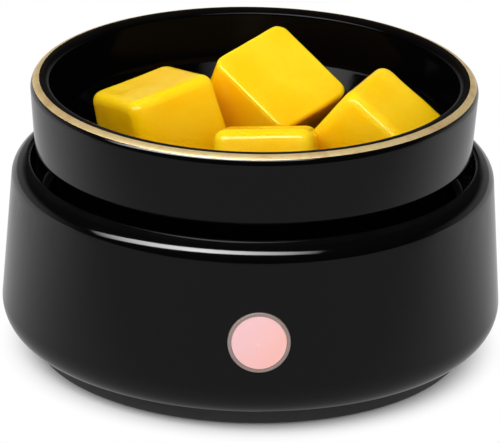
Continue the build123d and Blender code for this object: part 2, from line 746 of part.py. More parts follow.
def clip_screws():
    """Two screws, up through the clip's ears into the clamp plate."""
    shank_l = CLIP_THICK + CUTOUT_CAP_H + CLAMP_PLATE_THICK
    screw = pan_head_screw(CLIP_SCREW_R, shank_l, CLIP_HEAD_R, CLIP_HEAD_H)
    z = CLAMP_PLATE_Z - CUTOUT_CAP_H - CLIP_THICK
    return [place * Pos(0, 0, z) * screw for place in clip_screw_places()]


# Control board
def control_board():
    """Board on the cover's four posts."""
    depth = BOARD_BACK_Y - BOARD_FRONT_Y
    middle = (BOARD_BACK_Y + BOARD_FRONT_Y) / 2
    board = Pos(0, middle, BOARD_Z) * extrude(RectangleRounded(BOARD_X, depth, BOARD_CORNER_R), BOARD_THICK)
    hole = disc(BOARD_SCREW_R + HOLE_GAP, BOARD_Z - OVERRUN, BOARD_THICK + OVERRUN * 2)
    return board - [place * hole for place in board_holes()]


def board_screws():
    """Four screws that hold the board on its posts."""
    screw = pan_head_screw(BOARD_SCREW_R, BOARD_SCREW_L, BOARD_SCREW_HEAD_R, BOARD_SCREW_HEAD_H)
    return [place * Pos(0, 0, BOARD_TOP_Z) * Rot(180, 0, 0) * screw for place in board_holes()]


def relay():
    """Sealed relay that switches the heater."""
    body = block(RELAY_SIZE, RELAY_AT, BOARD_TOP_Z)
    return chamfer(body.faces().sort_by(Axis.Z)[-1].edges(), PART_ROUND)


def film_capacitor():
    """Box capacitor of the board's supply."""
    body = block(FILM_SIZE, FILM_AT, BOARD_TOP_Z)
    return fillet(body.faces().sort_by(Axis.Z)[-1].edges(), FILM_ROUND)


def storage_capacitor():
    """Can capacitor with its rolled groove and vent cross."""
    groove_z = STORE_H * STORE_GROOVE_SHARE
    groove = STORE_GROOVE_DEPTH
    section = outline(
        (0, 0),
        (STORE_R, 0),
        (STORE_R, groove_z - groove),
        (STORE_R - groove, groove_z),
        (STORE_R, groove_z + groove),
        (STORE_R, STORE_H),
        (0, STORE_H),
    )
    can = turned(rounded(section, [(STORE_R, STORE_H)], PART_ROUND))
    bar = Box(STORE_R, STORE_CROSS, STORE_CROSS)
    can -= Pos(0, 0, STORE_H) * (bar + Rot(0, 0, 90) * bar)
    return Pos(*STORE_AT, BOARD_TOP_Z) * can


def timer_chip():
    """Timer chip on its two rows of legs."""
    length, width, height = CHIP_SIZE
    lift = CHIP_LEG_THICK
    body = block((length, width, height - lift), CHIP_AT, BOARD_TOP_Z + lift)
    pitch = length / CHIP_LEG_COUNT
    leg_h = height / 2
    for leg in range(CHIP_LEG_COUNT):
        x = CHIP_AT[0] + (leg - (CHIP_LEG_COUNT - 1) / 2) * pitch
        for side in (-1, 1):
            y = CHIP_AT[1] + side * (width + CHIP_LEG_OUT) / 2
            body += Pos(x, y, BOARD_TOP_Z + leg_h / 2) * Box(CHIP_LEG_W, CHIP_LEG_OUT, leg_h)
    return body


def fuse():
    """Glass-bodied fuse lying on the board, with its two metal caps."""
    tube = Cylinder(FUSE_R, FUSE_L, rotation=(90, 0, 0))
    cap = Cylinder(FUSE_R + FUSE_CAP_SKIN, FUSE_CAP_L, rotation=(90, 0, 0))
    for side in (-1, 1):
        tube += Pos(0, side * (FUSE_L - FUSE_CAP_L) / 2, 0) * cap
    return Pos(*FUSE_AT, BOARD_TOP_Z + FUSE_R + FUSE_CAP_SKIN) * tube


def terminal_block():
    """Three-way block with its screws in wells along the top and lead holes at the side."""
    body = block(BLOCK_SIZE, BLOCK_AT, BOARD_TOP_Z)
    top = BOARD_TOP_Z + BLOCK_SIZE[2]
    for way in range(BLOCK_WAYS):
        y = BLOCK_AT[1] + (way - (BLOCK_WAYS - 1) / 2) * BLOCK_SIZE[1] / BLOCK_WAYS
        body -= Pos(BLOCK_AT[0], y, 0) * disc(BLOCK_SCREW_R, top - BLOCK_SCREW_DEPTH, OVERRUN)
    return body


def lead_socket():
    """Open-topped socket at the board's front edge for the button's lead."""
    length, width, height = SOCKET_SIZE
    place = (0, BOARD_FRONT_Y + width / 2)
    body = block(SOCKET_SIZE, place, BOARD_TOP_Z)
    inside = (length - SOCKET_WALL * 2, width - SOCKET_WALL * 2, height)
    return body - block(inside, place, BOARD_TOP_Z + height / 2)


# Button
def button_axis():
    """Plane on the bezel's face: its Z runs inwards along the wall's normal."""
    lean = radians(WALL_LEAN)
    wall = Vector(0, -slope_r(BUTTON_Z), BUTTON_Z)
    inwards = Vector(0, cos(lean), -sin(lean))
    return Plane(origin=wall - inwards * BEZEL_PROUD, x_dir=(1, 0, 0), z_dir=inwards)


def in_button(piece):
    """Put a piece drawn along +Z from the bezel's face into the button's place."""
    return button_axis().location * piece


def button_depths():
    """Depths of the holder's seat on the wall, its posts and the button board."""
    seat = SHELL_WALL + BEZEL_PROUD
    posts = seat + HOLDER_FLANGE_THICK
    board = posts + HOLDER_POST_L
    return seat, posts, board


def button_seat():
    """Hole through the wall and the flat inner pocket for the holder's flange."""
    seat = button_depths()[0]
    hole = disc(BEZEL_R + HOLE_GAP, -OVERRUN, SHELL_WALL + OVERRUN * 2)
    pocket_size = (HOLDER_FLANGE_X + SLIP_GAP * 2, HOLDER_FLANGE_H + SLIP_GAP * 2)
    pocket = extrude(Rectangle(*pocket_size), HOLDER_FLANGE_X)
    return in_button(hole + Pos(0, 0, seat) * pocket)


def holder_places():
    """The two posts of the holder, as places about the button's axis."""
    return [Pos(side * HOLDER_POST_X, 0, 0) for side in (-1, 1)]


def button_holder():
    """Bezel, guide tube and inner flange in one moulding, with two posts for the board."""
    seat, posts, board = button_depths()
    wide_r = BEZEL_R - HOLDER_WALL
    body = disc(BEZEL_R, 0, seat)
    body = fillet(body.faces().sort_by(Axis.Z)[0].edges(), BEZEL_ROUND)
    flange = extrude(RectangleRounded(HOLDER_FLANGE_X, HOLDER_FLANGE_H, HOLDER_POST_R), HOLDER_FLANGE_THICK)
    body += Pos(0, 0, seat) * flange
    body += [place * disc(HOLDER_POST_R, posts, HOLDER_POST_L) for place in holder_places()]
    body -= disc(BEZEL_LIP_R, -OVERRUN, board)
    body -= disc(wide_r, BEZEL_LIP, board)
    hole_l = BUTTON_SCREW_L - BUTTON_BOARD_THICK + SLIP_GAP
    hole = disc(BUTTON_SCREW_R + SCREW_GAP, board - hole_l, hole_l + OVERRUN)
    return in_button(body - [place * hole for place in holder_places()])


def button_cap():
    """Milky cap with a shallow dome, a retaining flange and a stem that works the switch."""
    front_r = BEZEL_LIP_R - BUTTON_GAP
    flange_r = BEZEL_R - HOLDER_WALL - CAP_FLANGE_GAP
    back = BEZEL_LIP + CAP_FLANGE_THICK
    stem_end = CAP_SKIN + CAP_STEM_L
    inside_r = front_r - CAP_FLANGE_THICK
    dome_h = CAP_DOME + CAP_EDGE_SINK
    dome_r = (front_r * front_r + dome_h * dome_h) / (dome_h * 2)
    half_way = (front_r / 2, dome_r - CAP_DOME - sqrt(dome_r * dome_r - front_r * front_r / 4))
    edge = [
        ThreePointArc((0, -CAP_DOME), half_way, (front_r, CAP_EDGE_SINK)),
        Polyline(
            (front_r, CAP_EDGE_SINK),
            (front_r, BEZEL_LIP),
            (flange_r, BEZEL_LIP),
            (flange_r, back),
            (inside_r, back),
            (inside_r, CAP_SKIN),
            (CAP_STEM_R, CAP_SKIN),
            (CAP_STEM_R, stem_end),
            (0, stem_end),
            (0, -CAP_DOME),
        ),
    ]
    return in_button(turned(make_face(edge)))


def switch_plunger():
    """The switch's plunger, which the cap's stem pushes."""
    return in_button(disc(PLUNGER_R, CAP_SKIN + CAP_STEM_L, PLUNGER_L))


def tact_switch():
    """Square switch body on the button board, with the well that its plunger sinks into."""
    top = button_depths()[2] - SWITCH_H
    square = RectangleRounded(SWITCH_SIZE, SWITCH_SIZE, PART_ROUND)
    body = Pos(0, 0, top) * extrude(square, SWITCH_H)
    well_end = CAP_SKIN + CAP_STEM_L + PLUNGER_L + BUTTON_TRAVEL + SWITCH_FRAME
    return in_button(body - disc(PLUNGER_R + BUTTON_GAP, top - OVERRUN, well_end - top + OVERRUN))


def button_board():
    """Small board behind the holder, held by two screws."""
    board = button_depths()[2]
    shape = RectangleRounded(HOLDER_FLANGE_X, HOLDER_FLANGE_H, HOLDER_POST_R)
    shape -= [place * Circle(BUTTON_SCREW_R + HOLE_GAP) for place in holder_places()]
    return in_button(Pos(0, 0, board) * extrude(shape, BUTTON_BOARD_THICK))


def indicator_lamps():
    """Two domed lamps that light the cap from behind."""
    board = button_depths()[2]
    lamp = disc(LAMP_R, board - LAMP_H, LAMP_H)
    lamp = fillet(lamp.faces().sort_by(Axis.Z)[0].edges(), LAMP_R / 2)
    return [in_button(Pos(0, side * LAMP_OFFSET, 0) * lamp) for side in (-1, 1)]


def button_board_screws():
    """Two screws from behind, through the board into the holder's posts."""
    back = button_depths()[2] + BUTTON_BOARD_THICK
    screw = pan_head_screw(BUTTON_SCREW_R, BUTTON_SCREW_L, BUTTON_SCREW_HEAD_R, BUTTON_SCREW_HEAD_H)
    from_behind = Pos(0, 0, back) * Rot(180, 0, 0) * screw
    return [in_button(place * from_behind) for place in holder_places()]


# Leads
def lead(points, radius, bend):
    """Round lead along straight runs joined by tangent arcs."""
    path = FilletPolyline(*points, radius=bend)
    start = Plane(origin=path @ 0, z_dir=path % 0)
    tube = sweep(start * Circle(radius), path=path)
    expected = Circle(radius).area * path.length
    print("lead volume", round(tube.volume, 2), "section times length", round(expected, 2))
    return tube


def heater_lead():
    """From the ribbon's outer blade to the terminal block."""
    x, y = blade_spots()[1]
    block_x = BLOCK_AT[0] - BLOCK_SIZE[0] / 2
    entry_y = BLOCK_AT[1] + BLOCK_SIZE[1] / BLOCK_WAYS
    mid_x = (RELAY_AT[0] + RELAY_SIZE[0] / 2 + FILM_AT[0] - FILM_SIZE[0] / 2) / 2
    blade_end = RIBBON_Z - BLADE_L
    points = [
        (x, y, blade_end),
        (x, y, SHIELD_Z - SHIELD_THICK - LEAD_BEND_R),
        (mid_x, entry_y + BLOCK_SIZE[0], LEAD_DROP_Z),
        (mid_x, entry_y, LEAD_ENTRY_Z),
        (block_x, entry_y, LEAD_ENTRY_Z),
    ]
    return lead(points, LEAD_R, LEAD_R * 2)


def cutout_link():
    """From the ribbon's inner blade down and up again to the cut-out's first blade."""
    x, y = blade_spots()[0]
    blade_end = RIBBON_Z - BLADE_L
    cutout_end = CLAMP_PLATE_Z - CUTOUT_H - CUTOUT_BLADE_L
    points = [
        (x, y, blade_end),
        (x, y, LINK_LOW_Z),
        (-CUTOUT_BLADE_X, 0, LINK_LOW_Z),
        (-CUTOUT_BLADE_X, 0, cutout_end),
    ]
    return lead(points, LEAD_R, LEAD_BEND_R)


def cutout_lead():
    """From the cut-out's second blade to the terminal block."""
    block_x = BLOCK_AT[0] - BLOCK_SIZE[0] / 2
    cutout_end = CLAMP_PLATE_Z - CUTOUT_H - CUTOUT_BLADE_L
    points = [
        (CUTOUT_BLADE_X, 0, cutout_end),
        (CUTOUT_BLADE_X, 0, LEAD_ENTRY_Z),
        (block_x, 0, LEAD_ENTRY_Z),
    ]
    return lead(points, LEAD_R, LEAD_BEND_R)


def button_lead():
    """From the back of the button board down into the socket at the board's front edge."""
    start_depth = button_depths()[2] + BUTTON_BOARD_THICK
    low = LAMP_OFFSET
    places = [in_button(Pos(RIBBON_LEAD_OFFSET, low, depth)).position
              for depth in (start_depth, start_depth + RIBBON_LEAD_RUN)]
    socket_y = BOARD_FRONT_Y + SOCKET_SIZE[1] / 2
    socket_floor = BOARD_TOP_Z + SOCKET_SIZE[2] / 2
    points = [
        places[0],
        places[1],
        (0, socket_y, socket_floor + SOCKET_SIZE[2] * 2),
        (0, socket_y, socket_floor),
    ]
    return lead(points, RIBBON_LEAD_R, LEAD_BEND_R)


# Melt dish
def dish_outside():
    """Section of the dish's outside: wall, rounded corner, ledge, spigot and foot ring."""
    wall_low_r = DISH_R - DISH_WALL_TAPER
    spigot_low_r = SPIGOT_R - SPIGOT_TAPER
    foot_in_r = DISH_FOOT_R - DISH_FOOT_W
    section = outline(
        (0, DISH_TOP_Z),
        (DISH_R, DISH_TOP_Z),
        (wall_low_r, DISH_LEDGE_Z),
        (SPIGOT_R, DISH_LEDGE_Z),
        (spigot_low_r, DISH_UNDER_Z),
        (DISH_FOOT_R, DISH_UNDER_Z),
        (DISH_FOOT_R, PLATE_TOP_Z),
        (foot_in_r, PLATE_TOP_Z),
        (foot_in_r, DISH_UNDER_Z),
        (0, DISH_UNDER_Z),
    )
    section = rounded(section, [(DISH_R, DISH_TOP_Z)], DISH_RIM_OUTER_ROUND)
    section = rounded(section, [(wall_low_r, DISH_LEDGE_Z)], DISH_CORNER_ROUND)
    section = rounded(section, [(spigot_low_r, DISH_UNDER_Z)], SPIGOT_ROUND)
    return rounded(section, [(DISH_FOOT_R, PLATE_TOP_Z), (foot_in_r, PLATE_TOP_Z)], DISH_FOOT_ROUND)


def cavity_radii():
    """Radii of the dish's inside at its rim, its shoulder, its step and its floor."""
    rim = DISH_R - DISH_RIM_WIDTH
    shoulder = rim - DISH_WALL_TAPER
    step = SPIGOT_R - DISH_WALL
    return rim, shoulder, step, step - SPIGOT_TAPER


def dish_inside():
    """Section of the hollow that holds the wax."""
    rim, shoulder, step, floor = cavity_radii()
    shoulder_z = DISH_LEDGE_Z + DISH_CORNER_ROUND + DISH_WALL / 2
    step_z = DISH_LEDGE_Z + SLIP_GAP
    section = outline(
        (0, DISH_TOP_Z + OVERRUN),
        (rim, DISH_TOP_Z + OVERRUN),
        (rim, DISH_TOP_Z),
        (shoulder, shoulder_z),
        (step, step_z),
        (floor, DISH_FLOOR_Z),
        (0, DISH_FLOOR_Z),
    )
    section = rounded(section, [(floor, DISH_FLOOR_Z)], DISH_FLOOR_ROUND)
    section = rounded(section, [(step, step_z)], DISH_STEP_ROUND)
    return rounded(section, [(shoulder, shoulder_z)], DISH_STEP_ROUND)


def gilt_section():
    """Section of the thin gilding over the rim's outer corner."""
    lean = DISH_WALL_TAPER / (DISH_TOP_Z - DISH_LEDGE_Z)
    low = DISH_TOP_Z - DISH_RIM_WIDTH
    corner = outline(
        (DISH_R - DISH_RIM_WIDTH, low),
        (DISH_R - DISH_RIM_WIDTH * lean, low),
        (DISH_R, DISH_TOP_Z),
        (DISH_R - DISH_RIM_WIDTH, DISH_TOP_Z),
    )
    corner = rounded(corner, [(DISH_R, DISH_TOP_Z)], DISH_RIM_OUTER_ROUND)
    inner = Pos(-GILT_THICK, -GILT_THICK) * corner
    window = Rectangle(GILT_TOP + OVERRUN, GILT_SIDE + OVERRUN, align=(Align.MAX, Align.MAX))
    return (corner - inner) & Pos(DISH_R + OVERRUN, DISH_TOP_Z + OVERRUN) * window


def melt_dish():
    """Glazed dish that stands on the plate, with a shallow seat for its gilding."""
    dish = turned(dish_outside()) - turned(dish_inside())
    rim_corner = (DISH_R - DISH_RIM_WIDTH, 0, DISH_TOP_Z)
    inner_edge = dish.edges().filter_by(GeomType.CIRCLE).sort_by_distance(rim_corner)[0]
    dish = fillet(inner_edge, DISH_RIM_INNER_ROUND)
    return dish - gilt_rim_band()


def gilt_rim_band():
    """Gilding as a thin band of its own, let into the rim's outer corner."""
    return turned(gilt_section())


# Wax melts
def wax_melt():
    """One melt as cast: a tapered block with rounded edges, its small face up."""
    taper = degrees(atan((WAX_BIG - WAX_SMALL) / 2 / WAX_H))
    melt = extrude(RectangleRounded(WAX_BIG, WAX_BIG, WAX_UPRIGHT_ROUND), WAX_H, taper=taper)
    melt = fillet(melt.faces().sort_by(Axis.Z)[-1].edges(), WAX_TOP_ROUND)
    melt = fillet(melt.faces().sort_by(Axis.Z)[0].edges(), WAX_EDGE_ROUND)
    return Pos(0, 0, -WAX_H / 2) * melt


def wax_in_dish(name):
    """One melt, turned as it lies and let down on the dish's floor."""
    floor_r = cavity_radii()[3]
    share_x, share_y = WAX_PLACE_SHARES[name]
    melt = Rotation(*WAX_TILTS[name]) * wax_melt()
    lift = DISH_FLOOR_Z + WAX_SEAT - melt.bounding_box().min.Z
    return Pos(share_x * floor_r, share_y * floor_r, lift) * melt


# Every piece by its node's name
def all_pieces():
    """The node names with their solids."""
    pieces = {
        "base_shell": base_shell(),
        "bottom_cover": bottom_cover(),
        "cover_screws": cover_screws(),
        "rubber_feet": rubber_feet(),
        "heating_plate": heating_plate(),
        "plate_gasket": plate_gasket(),
        "mica_sheet_upper": mica_sheet_upper(),
        "heater_ribbon": heater_ribbon(),
        "mica_sheet_lower": mica_sheet_lower(),
        "heater_blades": heater_blades(),
        "clamp_plate": clamp_plate(),
        "upper_standoffs": upper_standoffs(),
        "heat_shield": heat_shield(),
        "lower_standoffs": lower_standoffs(),
        "thermal_cutout": thermal_cutout(),
        "cutout_clip": cutout_clip(),
        "clip_screws": clip_screws(),
        "control_board": control_board(),
        "board_screws": board_screws(),
        "relay": relay(),
        "film_capacitor": film_capacitor(),
        "storage_capacitor": storage_capacitor(),
        "timer_chip": timer_chip(),
        "fuse": fuse(),
        "terminal_block": terminal_block(),
        "lead_socket": lead_socket(),
        "button_holder": button_holder(),
        "button_cap": button_cap(),
        "switch_plunger": switch_plunger(),
        "tact_switch": tact_switch(),
        "button_board": button_board(),
        "indicator_lamps": indicator_lamps(),
        "button_board_screws": button_board_screws(),
        "heater_lead": heater_lead(),
        "cutout_link": cutout_link(),
        "cutout_lead": cutout_lead(),
        "button_lead": button_lead(),
        "cord_gland": cord_gland(),
        "cord_clamp": cord_clamp(),
        "clamp_screws": clamp_screws(),
        "melt_dish": melt_dish(),
        "gilt_rim_band": gilt_rim_band(),
    }
    for name in WAX_PLACE_SHARES:
        pieces["wax_melt_" + name] = wax_in_dish(name)
    return pieces


def solids_of(piece):
    """The solids of a piece or of a list of like pieces."""
    group = piece if isinstance(piece, (list, ShapeList)) else [piece]
    return [solid for member in group for solid in member.solids()]


os.makedirs("parts", exist_ok=True)
for node, piece in all_pieces().items():
    solids = solids_of(piece)
    shape = solids[0] if len(solids) == 1 else Compound(children=solids)
    shape.label = node
    export_step(shape, "parts/" + node + ".step")
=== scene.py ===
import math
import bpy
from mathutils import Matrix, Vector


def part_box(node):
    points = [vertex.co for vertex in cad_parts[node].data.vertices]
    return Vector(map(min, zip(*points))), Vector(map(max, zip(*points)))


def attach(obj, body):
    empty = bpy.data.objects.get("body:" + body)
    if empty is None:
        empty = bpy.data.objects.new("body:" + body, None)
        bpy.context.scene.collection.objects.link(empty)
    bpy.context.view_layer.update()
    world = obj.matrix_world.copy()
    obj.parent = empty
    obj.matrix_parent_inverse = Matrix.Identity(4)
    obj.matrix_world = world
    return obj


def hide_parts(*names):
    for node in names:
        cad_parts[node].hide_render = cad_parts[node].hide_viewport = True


bl_info = {
    "name": "Wax Melt Warmer",
    "version": (1, 0, 0),
    "blender": (4, 5, 0),
    "location": "View3D > Sidebar > Warmer",
    "description": "Glazed base and dish, gilt rim, wax melts, lit button and works of a warmer",
    "category": "Object",
}

import bmesh
import bpy
from bpy.props import FloatProperty, FloatVectorProperty, IntProperty, PointerProperty
from bpy.types import Operator, Panel, PropertyGroup
from mathutils import Euler, Matrix, Quaternion, Vector, noise

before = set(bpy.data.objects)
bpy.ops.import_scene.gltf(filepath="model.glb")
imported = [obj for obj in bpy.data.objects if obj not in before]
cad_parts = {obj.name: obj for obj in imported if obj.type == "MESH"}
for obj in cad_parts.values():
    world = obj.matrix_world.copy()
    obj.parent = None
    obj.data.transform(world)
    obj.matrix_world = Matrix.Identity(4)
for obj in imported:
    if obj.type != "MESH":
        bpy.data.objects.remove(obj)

MM = 0.001
FINISH = "finish_"
MERGE = 0.001 * MM
# How near a vertex's height is to a level that it lies on
LEVEL = 10 * MERGE
# Faces that meet at more than this angle show an edge between them
SHARP = math.radians(40)
# A bevel's profile that is an arc
ROUND = 0.5
PHOTO_WIDTH = 500
SENSOR_WIDTH = 36
BLACK, WHITE = (0, 0, 0, 1), (1, 1, 1, 1)
MELTS = ("left", "back", "right", "front")
# Step from one melt to the next through the noise that makes them uneven
MELT_SHIFT = (3.1, 1.7, 2.3)
DISH_LOW, DISH_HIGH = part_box("melt_dish")
CAP_LOW, CAP_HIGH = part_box("button_cap")
_, SHELL_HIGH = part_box("base_shell")


def length(name, description, default):
    """Property for a size in metres."""
    return FloatProperty(
        name=name, description=description, default=default, unit="LENGTH", subtype="DISTANCE")


def angle(name, description, degrees):
    """Property for an angle that is given here in degrees."""
    return FloatProperty(name=name, description=description, default=math.radians(degrees), subtype="ANGLE")


def tilt(name, description, degrees):
    """Property for how a melt lies, given here in degrees about X, Y and Z."""
    turns = tuple(math.radians(part) for part in degrees)
    return FloatVectorProperty(name=name, description=description, default=turns, subtype="EULER")


def colour(name, description, default):
    """Property for a plain colour."""
    return FloatVectorProperty(
        name=name, description=description, default=default, subtype="COLOR", min=0, max=1)


def share(name, description, default):
    """Property for a share between nothing and all."""
    return FloatProperty(name=name, description=description, default=default, subtype="FACTOR", min=0, max=1)


def amount(name, description, default):
    """Property for a plain number."""
    return FloatProperty(name=name, description=description, default=default)


def steps(name, description, default):
    """Property for a whole number of steps."""
    return IntProperty(name=name, description=description, default=default, min=2)


class WarmerSizes(PropertyGroup):
    """Sizes of the pieces that are modelled here."""

    turn_steps: steps("Steps", "Steps round a turned piece", 320)
    round_steps: steps("Round steps", "Steps along a turned piece's rounded corner", 9)
    crown_cut: length("Crown cut", "How far below the base's top its crown is joined on", 6.25 * MM)
    crown_round: length("Crown round", "Rounding of the base's crown outside", 5 * MM)
    crown_inner_round: length("Crown inner round", "Rounding of the base's crown towards the well", 1 * MM)
    crown_turn: angle("Crown turn", "Tilt at which the outer rounding passes into the inner one", 70)
    base_lean: angle("Base lean", "How far the base's wall leans in", 4.1)
    well_lean: angle("Well lean", "How far the well's wall leans out", 5.6)
    dish_rim: length("Dish rim", "Width of the dish's rim", 5.2 * MM)
    dish_lean: length("Dish lean", "How much narrower the wall is at its lower end", 1.4 * MM)
    dish_ledge: length("Dish ledge", "Height of the lower corner above the plate", 13.7 * MM)
    spigot_gap: length("Spigot step", "How far the spigot stands in from the rim", 6.25 * MM)
    spigot_taper: length("Spigot taper", "How much narrower the spigot is at its foot", 1.1 * MM)
    dish_wall: length("Dish wall", "Thickness of the spigot's wall", 4.2 * MM)
    dish_floor: length("Dish floor", "Thickness of the dish's floor", 3.2 * MM)
    foot_ring_in: length("Foot ring inside", "Inner radius of the dish's foot ring", 36 * MM)
    foot_ring_out: length("Foot ring outside", "Outer radius of the dish's foot ring", 40 * MM)
    foot_ring_drop: length("Foot ring drop", "Height of the dish's foot ring", 1.2 * MM)
    rim_round: length("Rim round", "Rounding of the rim's outer corner", 2.4 * MM)
    rim_inner_round: length("Rim inner round", "Rounding of the rim's inner corner", 1.7 * MM)
    ledge_round: length("Ledge round", "Rounding of the wall's lower corner", 2.2 * MM)
    shoulder_lift: length("Shoulder lift", "Height of the inside's shoulder above the ledge", 6.3 * MM)
    spigot_round: length("Spigot round", "Rounding of the spigot's foot", 3 * MM)
    step_round: length("Step round", "Rounding of the steps inside the dish", 4 * MM)
    floor_round: length("Floor round", "Rounding between the wall and the floor inside", 3.6 * MM)
    foot_round: length("Foot round", "Rounding of the foot ring", 0.5 * MM)
    gilt_top: length("Gilding on top", "How far in from the rim's edge the gilding reaches", 2.4 * MM)
    gilt_side: length("Gilding on the side", "How far down from the rim's top the gilding reaches", 0.9 * MM)
    gilt_seat: length("Gilding seat", "How deep the gilding is let into the rim", 0.4 * MM)
    step_lift: length("Step lift", "Height of the step inside above the ledge outside", 0.3 * MM)
    melt_big: length("Melt, large face", "Side of the face that was poured", 27.1 * MM)
    melt_small: length("Melt, small face", "Side of the face at the mould's bottom", 24.8 * MM)
    melt_height: length("Melt height", "Height of a melt as cast", 21 * MM)
    melt_corner: length("Melt corner", "Rounding of the upright edges", 3.4 * MM)
    melt_crown: length("Melt crown", "Rounding round the small face", 2.6 * MM)
    melt_edge: length("Melt edge", "Rounding round the poured face", 0.8 * MM)
    melt_corner_steps: steps("Melt corner steps", "Steps along a rounded upright edge", 8)
    melt_edge_steps: steps("Melt edge steps", "Steps along the rounding of a level edge", 6)
    melt_grain: length("Melt grain", "Spacing of the mesh on a melt", 0.5 * MM)
    melt_softening: steps("Melt softening", "How often the mesh is smoothed before it sinks", 3)
    melt_soft: share("Melt soft", "How far a vertex moves each time it is smoothed", 0.5)
    melt_sink: length("Melt sink", "How far the faces sank as the wax cooled", 0.22 * MM)
    melt_wave: length("Melt wave", "Height of the slow unevenness", 0.1 * MM)
    melt_wave_span: length("Melt wave span", "Spacing of the slow unevenness", 7 * MM)
    melt_ripple: length("Melt ripple", "Height of the fine unevenness", 0.02 * MM)
    melt_ripple_span: length("Melt ripple span", "Spacing of the fine unevenness", 1.6 * MM)
    left_tilt: tilt("Left melt", "How the left melt lies", (-4.8, -14.2, 28.6))
    back_tilt: tilt("Back melt", "How the back melt lies", (-151.6, -17.7, -45.2))
    right_tilt: tilt("Right melt", "How the right melt lies", (17.4, 30.8, -30.3))
    front_tilt: tilt("Front melt", "How the front melt lies", (-18.4, -1.3, -5.8))


class WarmerColours(PropertyGroup):
    """Colours that a user would change."""

    glaze: colour("Glaze", "Glaze where it is thick", (0.001, 0.001, 0.001125))
    glaze_thin: colour("Thin glaze", "Glaze where it ran thin on an edge", (0.005, 0.004, 0.0035))
    glaze_gloss: share("Glaze gloss", "How strongly the glaze mirrors what is round it", 0.5)
    inner_gloss: share("Inner gloss", "How strongly the dish's inside mirrors, dulled by wax", 0.05)
    gold: colour("Gold", "Gilding in full", (1.0, 0.76, 0.37))
    gold_worn: colour("Thin gold", "Gilding where it was brushed thin", (0.8, 0.52, 0.23))
    wax: colour("Wax", "Body colour of the melts", (0.98, 0.57, 0.002))
    wax_frost: colour("Wax frost", "Paler crystals at the melt's skin", (0.99, 0.64, 0.02))
    # Painted shade: deeper orange wax for low on a melt, where less light reaches
    wax_painted_shade: colour("Deep wax", "Where a melt is thick and lies in shade", (0.97, 0.47, 0.001))
    cap: colour("Cap", "Milky cap in white light", (0.55, 0.335, 0.335))
    cap_glow: colour("Cap glow", "Light through the cap low on its right", (1.0, 0.38, 0.22))
    cap_far: colour("Cap glow, far side", "Light through the cap high on its left", (0.72, 0.42, 0.5))
    bezel: colour("Bezel", "Thin ring round the cap", (0.24, 0.185, 0.165))


class WarmerStage(PropertyGroup):
    """Camera, floor and backdrop."""

    azimuth: angle("Camera azimuth", "Camera's place round the object", -2.1)
    elevation: angle("Camera elevation", "Camera's height above the horizon", 21.7)
    roll: angle("Camera roll", "Turn of the camera about its view", 1.1)
    distance: length("Camera distance", "From the camera to what it looks at", 1.2)
    focus_side: length("Focus sideways", "Point looked at, to the camera's right", -0.5 * MM)
    focus_height: length("Focus height", "Height of the point looked at", 33.3 * MM)
    lens_px: amount("Lens", "Focal length in pixels of the photograph", 4600.4)
    clip_near: length("Clip near", "Nothing nearer to the camera is seen", 0.1)
    clip_far: length("Clip far", "Nothing farther from the camera is seen", 20)
    floor_size: length("Floor size", "Side of the floor", 8.0)
    white_from: length("White from", "Where the floor starts to fade to plain white", 0.0525)
    white_to: length("White to", "Where the floor is plain white", 0.067)
    floor_albedo: share("Floor", "Lightness of the floor", 0.77)
    front_grey: share("Front grey", "How light the floor in front is in reflections", 0.26)
    back_grey: share("Back grey", "How much lighter the floor behind is in reflections", 0.34)
    grey_from: length("Grey to here", "The floor in front is grey in reflections up to here", 0.29)
    grey_to: length("Black from here", "And black in reflections from here on", 0.42)
    lighter_from: length("Lighter from here", "The floor starts to be lighter in reflections", -110 * MM)
    lighter_to: length("Lightest from here", "The floor is at its lightest in reflections", 60 * MM)
    world_light: amount("World", "Strength of the even light", 0.85)
    world_gloss: amount("Back in gloss", "How light the backdrop is in reflections", 0.27)
    above_gloss: amount("Above the backdrop", "How light it is above the backdrop in reflections", 0.02)
    behind_from: amount("Backdrop starts", "How much a direction points back where the backdrop starts", -0.2)
    behind_to: amount("Backdrop in full", "How much it points back where the backdrop is in full", 0.55)
    back_from: angle("Backdrop fades from", "Height above the horizon where the backdrop starts to fade", 10)
    back_to: angle("Backdrop ends", "Height above the horizon where the backdrop ends", 21)
    sky_gloss: amount("Sky in gloss", "How light the sky in front is in reflections", 0.02)
    horizon_gloss: amount("Horizon in gloss", "How light the horizon in front is in reflections", 0.01)
    sky_from: angle("Sky from", "Height above the horizon where the sky in reflections starts to lighten", 24)
    sky_to: angle("Sky to", "Height above the horizon where it is in full", 36)


# Shader sums
class Socket:
    """A node's output that takes part in sums as a number does."""

    def __init__(self, shader, output):
        self.shader = shader
        self.output = output

    def math(self, operation, first, second=0.0):
        return self.shader.node("ShaderNodeMath", {"operation": operation}, {0: first, 1: second})

    def __add__(self, other):
        return self.math("ADD", self, other)

    def __radd__(self, other):
        return self.math("ADD", other, self)

    def __sub__(self, other):
        return self.math("SUBTRACT", self, other)

    def __rsub__(self, other):
        return self.math("SUBTRACT", other, self)

    def __mul__(self, other):
        return self.math("MULTIPLY", self, other)

    def __rmul__(self, other):
        return self.math("MULTIPLY", other, self)

    def __pow__(self, other):
        return self.math("POWER", self, other)


